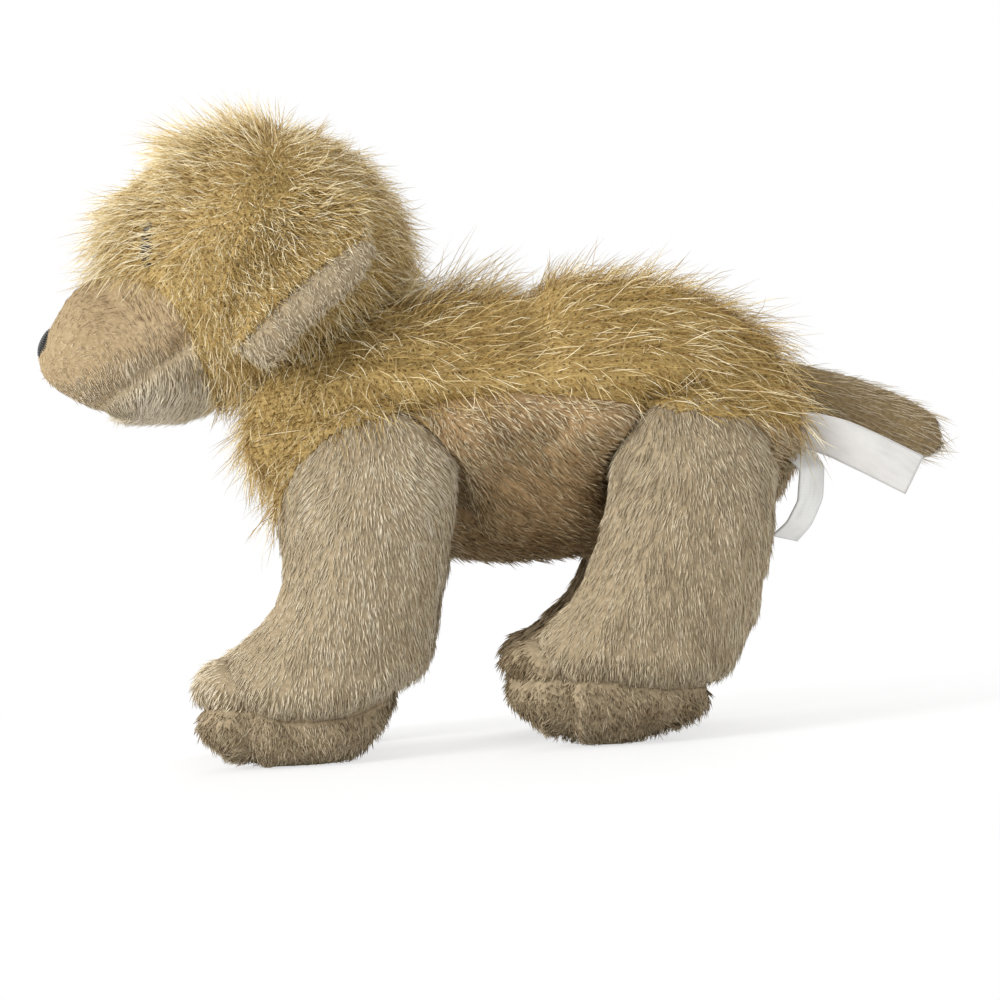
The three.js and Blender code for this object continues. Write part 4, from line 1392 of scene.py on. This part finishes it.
def loftEar(side, plan, section):
    # Closed loops of (across, out) in mm from the seam, one after the other down the ear
    rear, front = smoothLine(plan["rear"], plan["rows"]), smoothLine(plan["front"], plan["rows"])
    cad = pointsOf(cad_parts[side + "_ear_back"].data) / mm
    out = -1 if side == "left" else 1
    middle, span = plan["middle"], plan["span"]
    run = np.subtract(plan["rear"][-1], plan["rear"][2])
    aside = np.array([-run[1], run[0]]) / np.linalg.norm(run)  # square to the seam

    def terms(x, z):
        x, z = (np.asarray(x) - middle[0]) / span, (np.asarray(z) - middle[1]) / span
        return np.stack([np.ones_like(x), x, z, x * x, x * z, z * z], axis=-1)

    fit = np.linalg.lstsq(terms(cad[:, 0], cad[:, 2]), cad[:, 1], rcond=None)[0]

    def standing(x, z, depth):
        hit = headTree.ray_cast(Vector((x, 100 * out, z)) * mm, Vector((0, -out, 0)))[0]
        free = terms(x, z) @ fit
        lying = hit.y / mm + out * 0.4 if hit else free
        share = np.clip(depth * 1.6, 0, 1) ** 2
        return lying + (free - lying) * share

    points, faces = [], []
    for row, (seam, edge) in enumerate(zip(rear, front)):
        share = row / (plan["rows"] - 1)
        wide = np.linalg.norm(seam - edge)
        along = (seam - edge) / wide
        loop = section(share, wide)
        for across, lift in loop:
            x, z = seam + (along if across < 0 else aside) * across
            base = standing(*(seam + along * min(across, 0)), 1 + min(across, 0) / wide)
            points.append((x * mm, (base + out * (lift + plan["off"])) * mm, z * mm))
        size = len(loop)
        for n in range(size if row else 0):
            a, b = row * size + n, row * size + (n + 1) % size
            faces.append((a - size, b - size, b, a))
    faces.append(tuple(range(size)))
    faces.append(tuple(range(len(points) - size, len(points))))
    return finer(facedOut(plainMesh("ear", points, faces)), 2)


def flapSection(share, wide):
    inner = [(-1.0, -0.4), (-0.75, -0.6), (-0.5, -0.6), (-0.25, -0.5)]
    outer = [(-0.25, 1.4), (-0.5, 1.4), (-0.75, 1.1), (-1.0, 0.3)]
    return ([(u * wide, v) for u, v in inner] + [(-0.7, -0.2), (0.0, 0.6), (-0.9, 1.4)]
            + [(u * wide, v) for u, v in outer])


def liningSection(share, wide):
    full = np.interp(share, [0, 0.2, 0.25, 0.45, 0.97, 1], [0.08, 0.1, 0.6, 1, 1, 0.7])
    strip = [(0.0, 0.2), (0.8, 1.7), (2.6, 2.6), (5.6, 2.6), (7.8, 1.9), (8.8, 0.4), (8.2, -1.3), (5.6, -2.3),
             (1.0, -2.3)]
    inner = [(-0.25, -2.1), (-0.6, -2.0), (-0.97, -1.5), (-0.97, -0.9), (-0.6, -1.0), (-0.25, -1.0)]
    return ([(u * full, v if u == 0 else v * (0.4 + 0.6 * full)) for u, v in strip]
            + [(u * wide, v) for u, v in inner] + [(-0.8, -0.7)])


def makeEar(side, plan):
    body = side + "_ear"
    out = -1 if side == "left" else 1
    flap, lining = loftEar(side, plan, flapSection), loftEar(side, plan, liningSection)
    points = pointsOf(flap)
    flat = np.stack([points[:, 0], points[:, 2], points[:, 1] * 0], axis=1)
    setAttribute(flap, "knit", flat / mm, "FLOAT_VECTOR")
    addCover(body + "_flap", flap, shagKnit, body, [body + "_back"])
    addCover(body + "_inner", lining, plushNap, body, [body + "_lining"])
    inward = normalsOf(flap)[:, 1] * out < 0.1
    combPanel(flap, plan["guides"], inward, tone=0.46, mottle=0.14, seed=9)
    seam = smoothLine(plan["rear"][2:], 60)
    toSeam = np.array([np.linalg.norm(seam - p[::2] / mm, axis=1).min() for p in points])
    shorten(flap, np.clip(toSeam / plan["trim"], 0.6, 1))
    near = neighbourhood(body + "_neighbours", [headSkin])
    growFur(body + "_undercoat", flap, earUnder, body, near)
    growFur(body + "_fur", flap, earShag, body, near)
    hidden = crowded(pointsOf(lining), [headTree], gap=0.3)
    combPanel(lining, plan["liningGuides"], hidden, tone=0.52, mottle=0.14, seed=12)
    turned = normalsOf(lining)[:, 1] * out < -0.3  # sparser where it faces the head
    setAttribute(lining, "cover", np.where(hidden, 0, np.where(turned, 0.5, 1)))
    growFur(body + "_pile", lining, earPile, body, near)


makeEar("left", earPlan)
makeEar("right", earPlan)
print("ears made")


# Legs: outer and inner side panels and a separate bulging sole
legPlan = {
    "middle": 32.5,
    "wall": 1.3,
    "soleGroove": {"deep": 2.6, "wide": 2.4, "swell": 0.9},
    "sideGroove": {"deep": 1.8, "wide": 2.2, "swell": 0.7},
    "front": {
        # Tone of each panel; the low sole tone is partly painted shade under the foot
        "tone": {"outer": 0.52, "inner": 0.62, "sole": 0.24},
        # Front edge of the outer panel, as x over z
        "edge": [(14, -66.5), (18.3, -67.3), (28.6, -71.4), (36, -73), (46, -82)],
        "seam": [(-96, 16), (-79, 16), (-71, 16.5), (-54.5, 11.5), (-40, 12), (-30, 15.5), (-10, 22)],
        "guides": [
            (-31, -49, 82, 0.0, 0, -1, 1, 1),
            (-46, -48, 70, -0.6, 0, -0.8, 1, 1),
            (-15, -48, 72, 0.7, 0, -0.75, 1, 1),
            (-50, -45, 50, -0.4, 0, -0.9, 1, 1),
            (-33, -50, 48, 0.0, 0, -1, 1, 1),
            (-16, -46, 46, 0.3, 0, -1, 1, 1),
            (-60, -48, 30, -0.45, 0, -0.9, 1, 0.9),
            (-40, -50, 26, -0.05, 0, -1, 1, 1),
            (-24, -46, 24, 0.3, 0, -1, 1, 1),
            (-74, -42, 24, -0.6, 0, -0.8, 1, 0.9),
            (-60, -16, 30, -0.3, 0, -0.95, 1, 1),
            (-35, -16, 40, 0, 0, -1, 1, 1),
            (-70, -45, 8, -0.3, -0.3, -0.5, 1.3, 1),
            (-50, -48, 6, 0.1, -0.3, -0.6, 1.3, 1),
            (-32, -46, 9, 0.3, -0.3, -0.5, 1.3, 1),
        ],
    },
    "rear": {
        # Tone of each panel; the low sole tone is partly painted shade under the foot
        "tone": {"outer": 0.39, "inner": 0.02, "sole": 0.18},
        "edge": [(9, 13.8), (11.1, 13.4), (19.5, 11.2), (26.8, 7.7), (35, 8.8), (46, 0)],
        "seam": [(-18, 19), (-1, 18.5), (13, 18), (24, 17), (36, 14), (53, 13), (75, 15)],
        "guides": [
            (50, -49, 80, 0.1, 0, -1, 1, 1),
            (34, -48, 66, -0.6, 0, -0.8, 1, 1),
            (68, -48, 68, 0.3, 0, -1, 1, 1),
            (26, -47, 48, -0.5, 0, -0.85, 1, 1),
            (46, -50, 46, -0.1, 0, -1, 1, 1),
            (64, -46, 44, 0.1, 0, -1, 1, 1),
            (14, -48, 32, -0.5, 0, -0.9, 1, 0.9),
            (32, -50, 28, -0.1, 0, -1, 1, 1),
            (52, -46, 24, 0.1, 0, -1, 1, 1),
            (2, -42, 24, -0.6, 0, -0.7, 1, 0.9),
            (20, -16, 40, -0.3, 0, -1, 1, 1),
            (50, -16, 40, 0, 0, -1, 1, 1),
            (8, -45, 8, -0.3, -0.3, -0.5, 1.3, 1),
            (28, -48, 6, 0.1, -0.3, -0.6, 1.3, 1),
            (44, -46, 8, 0.3, -0.3, -0.5, 1.3, 1),
        ],
    },
}
legPile = {
    "rings": 2, "material": plushFibre, "density": 2.0, "length": 5.0, "thickness": 0.168,
    "lift": (0.26, 0.02), "droop": 0.05, "locks": 0.2, "pull": 0.6, "sway": 0.16, "spread": 0.12,
    "lockSpread": 0.1, "clearance": 0.2, "seed": 51,
}
innerPile = {**legPile, "density": 0.78, "thickness": 0.27}
solePile = {**legPile, "density": 1.5, "length": 3.6, "lift": (0.6, 0.2), "sway": 0.3, "seed": 52}


def makeLeg(name, plan):
    mesh = legSkins[name]
    ends = plan["front"] if "front" in name else plan["rear"]
    body = name + "_leg"
    seam = seamHeight(ends["seam"])

    def aboveSole(points):
        return points[:, 2] / mm - seam(points[:, 0] / mm)

    heights, edge = np.array(ends["edge"], dtype=float).T

    def outside(points):
        behindEdge = points[:, 0] / mm - np.interp(points[:, 2] / mm, heights, edge)
        return np.minimum(np.abs(points[:, 1]) / mm - plan["middle"], behindEdge)

    points = pointsOf(mesh)
    low = np.clip(1.2 - points[:, 2] / mm / 60, 0.25, 1)  # the side seam is deeper towards the foot
    pinched(mesh, outside(points), {**plan["sideGroove"], "share": low})
    pinched(mesh, aboveSole(pointsOf(mesh)), plan["soleGroove"])
    setPoints(mesh, grounded(pointsOf(mesh)))
    splitAlong(mesh, aboveSole)
    splitAlong(mesh, outside)
    outer = panelOf(mesh, lambda c: (aboveSole(c) > 0) & (outside(c) > 0))
    inner = panelOf(mesh, lambda c: (aboveSole(c) > 0) & (outside(c) <= 0))
    sole = panelOf(mesh, lambda c: aboveSole(c) <= 0)
    seed = legNames.index(name) * 10
    streak = (0.3, (2.4, 2.4, 12.0))
    parts = {"outer": (outer, legPile), "inner": (inner, innerPile), "sole": (sole, solePile)}
    for part, (panel, pile) in parts.items():
        node = name + ("_foot_sole" if part == "sole" else "_leg_" + part)
        addCover(f"{name}_{part}", thickened(panel, plan["wall"]), plushNap, body, [node])
        points, normals = pointsOf(panel), normalsOf(panel)
        underfoot = (points[:, 2] < 1.5 * mm) & (normals[:, 2] < -0.6)
        bare = crowded(points, [torsoTree], gap=0.8) | underfoot
        number = seed + len(part)
        combPanel(panel, ends["guides"], bare, ends["tone"][part], 0.1, number, streak)
        growFur(f"{name}_{part}_pile", panel, {**pile, "seed": pile["seed"] + number}, body)


for legName in legNames:
    makeLeg(legName, legPlan)
print("legs made")


# Tail: flat plush tube with a pale fringe
tailPlan = {
    "voxel": 2.0,
    "slim": 0.9,
    "guides": [
        (80, -5, 92, 1, 0, -0.4, 0.8, 0.8),
        (100, -7, 82, 1, 0, -0.45, 0.8, 1),
        (118, -3, 72, 1, 0, -0.5, 0.8, 1.1),
    ],
}
tailPile = {**legPile, "density": 2.0, "length": 2.6, "lift": (0.24, 0.04), "seed": 61}
tailFringe = {**legPile, "rings": 3, "density": 0.4, "length": 7.0, "thickness": 0.08, "lift": (0.5, 0.3),
              "seed": 62}


def makeTail(plan):
    mesh = remeshed(patternMesh(["tail"]), plan["voxel"])
    setPoints(mesh, relaxed(pointsOf(mesh), edgesOf(mesh), 5))
    moveOut(mesh, -plan["slim"])
    addCover("tail_tube", mesh, tailNap, "tail", ["tail"])
    bare = crowded(pointsOf(mesh), [torsoTree], gap=0.3)
    combPanel(mesh, plan["guides"], bare, tone=0.14, mottle=0.12, seed=15)
    growFur("tail_pile", mesh, tailPile, "tail")
    combPanel(mesh, plan["guides"], bare, tone=0.6, mottle=0.1, seed=16)
    growFur("tail_fringe", mesh, tailFringe, "tail")
    print("tail made")


makeTail(tailPlan)


# Labels: two ribbons sewn in beside the tail, bare
nameRibbon = {
    "path": [(75.0, -20.4, 77.6), (82.0, -22.4, 76.2), (89.0, -23.6, 73.6), (98.0, -23.4, 68.8),
             (108.0, -21.0, 63.2)],
    "across": [(0.2, -0.75, 0.65), (0.4, -0.3, 0.85), (0.45, -0.1, 0.9)],
    "width": 11.0, "length": 36.0, "thickness": 0.5,
}
careRibbon = {
    "path": [(79.0, -13.6, 71.2), (82.4, -15.0, 67.0), (81.4, -14.6, 58.5), (78.2, -12.6, 52.4),
             (74.4, -10.2, 48.8)],
    "across": [(0.65, 0.75, 0.1), (0.65, 0.75, 0.1), (0.6, 0.75, -0.3)],
    "width": 11.0, "length": 25.0, "thickness": 0.4,
}


def addRibbon(name, node, plan, material):
    steps, wide = 48, 12
    path = smoothLine(plan["path"], steps + 1)
    ways = np.array(plan["across"], dtype=float)
    spread = np.linspace(0, 1, len(ways))
    points, faces, uvs = [], [], []
    for i, place in enumerate(path):
        share = i / steps
        ahead = path[min(i + 1, steps)] - path[max(i - 1, 0)]
        way = np.array([np.interp(share, spread, column) for column in ways.T])
        way -= ahead * (way @ ahead) / (ahead @ ahead)
        way /= np.linalg.norm(way)
        face = np.cross(way, ahead) / np.linalg.norm(ahead)
        for j in range(wide + 1):
            level = j / wide - 0.5
            wave = 0.35 * math.sin(share * 6 + level * 3) * share
            points.append((place + way * level * plan["width"] + face * wave) * mm)
            uvs.append((share * plan["length"] / plan["width"] * 0.3, level + 0.5))
    for i in range(steps):
        for j in range(wide):
            a = i * (wide + 1) + j
            faces.append((a, a + wide + 1, a + wide + 2, a + 1))
    mesh = plainMesh(name, points, faces)
    layer = mesh.uv_layers.new(name="ribbon")
    for loop in mesh.loops:
        layer.data[loop.index].uv = uvs[loop.vertex_index]
    mesh.materials.append(material)
    piece = placed(name, thickened(mesh, plan["thickness"]), node)
    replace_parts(piece, node)


addRibbon("name_ribbon", "name_label", nameRibbon, whiteRibbon)
addRibbon("care_ribbon", "care_label", careRibbon, greyRibbon)
print("labels made")


# Stage: pale floor, white surroundings, a key light from the front left, a weak fill and a light from behind
stagePlan = {
    "floor": 6.0,
    "shadow": 0.3,
    "shadowReach": (0.12, 0.3),  # m from the toy's middle where the shadow starts to fade, and where it ends
    "ambient": 0.66,
    "aim": (0, 0, 0.08),
    "lights": [  # place, size and power
        ("key_light", (-1.35, -1.1, 0.7), 0.9, 35.0),
        ("fill_light", (1.1, -1.2, 0.5), 1.0, 4.0),
        ("back_light", (0.3, 1.4, 0.9), 1.0, 16.0),
    ],
}


def seenRays(bench):
    rays = bench.node("ShaderNodeLightPath", {}, {}, "Is Camera Ray")
    return rays.atLeast(rays.of("Is Glossy Ray")).atLeast(rays.of("Is Transmission Ray"))


def makeStage(plan):
    corners = [(x * plan["floor"], y * plan["floor"], 0) for x, y in ((-1, -1), (1, -1), (1, 1), (-1, 1))]
    mesh = plainMesh("studio_floor", corners, [(0, 1, 2, 3)])
    material, bench = newMaterial("pale_floor")
    plain = bench.node("ShaderNodeBsdfDiffuse", {}, {"Color": (0.95, 0.95, 0.95)}, "BSDF")
    white = bench.node("ShaderNodeEmission", {}, {"Color": (1, 1, 1), "Strength": 1.0}, "Emission")
    shaded = (1 - bench.place().size().between(*plan["shadowReach"])) * plan["shadow"]
    sockets = {0: seenRays(bench) * (1 - shaded), 1: plain, 2: white}
    mixed = bench.node("ShaderNodeMixShader", {}, sockets, "Shader")
    bench.node("ShaderNodeOutputMaterial", {}, {"Surface": mixed})
    mesh.materials.append(material)
    loose("studio_floor", mesh)

    scene.world = bpy.data.worlds.new("white_room")
    scene.world.use_nodes = True
    bench = Bench(scene.world.node_tree)
    bench.tree.nodes.clear()
    room, white = (
        bench.node("ShaderNodeBackground", {}, {"Color": (1, 1, 1), "Strength": strength}, "Background")
        for strength in (plan["ambient"], 1.0)
    )
    mixed = bench.node("ShaderNodeMixShader", {}, {0: seenRays(bench), 1: room, 2: white}, "Shader")
    bench.node("ShaderNodeOutputWorld", {}, {"Surface": mixed})

    for name, place, size, power in plan["lights"]:
        data = bpy.data.lights.new(name, "AREA")
        data.energy = power
        data.size = size
        lamp = bpy.data.objects.new(name, data)
        lamp.location = place
        aim = Vector(plan["aim"]) - Vector(place)
        lamp.rotation_euler = aim.to_track_quat("-Z", "Y").to_euler()
        scene.collection.objects.link(lamp)
    scene.view_settings.view_transform = "Standard"
    print("stage set")


makeStage(stagePlan)

for helper in helpers:
    drop(helper)
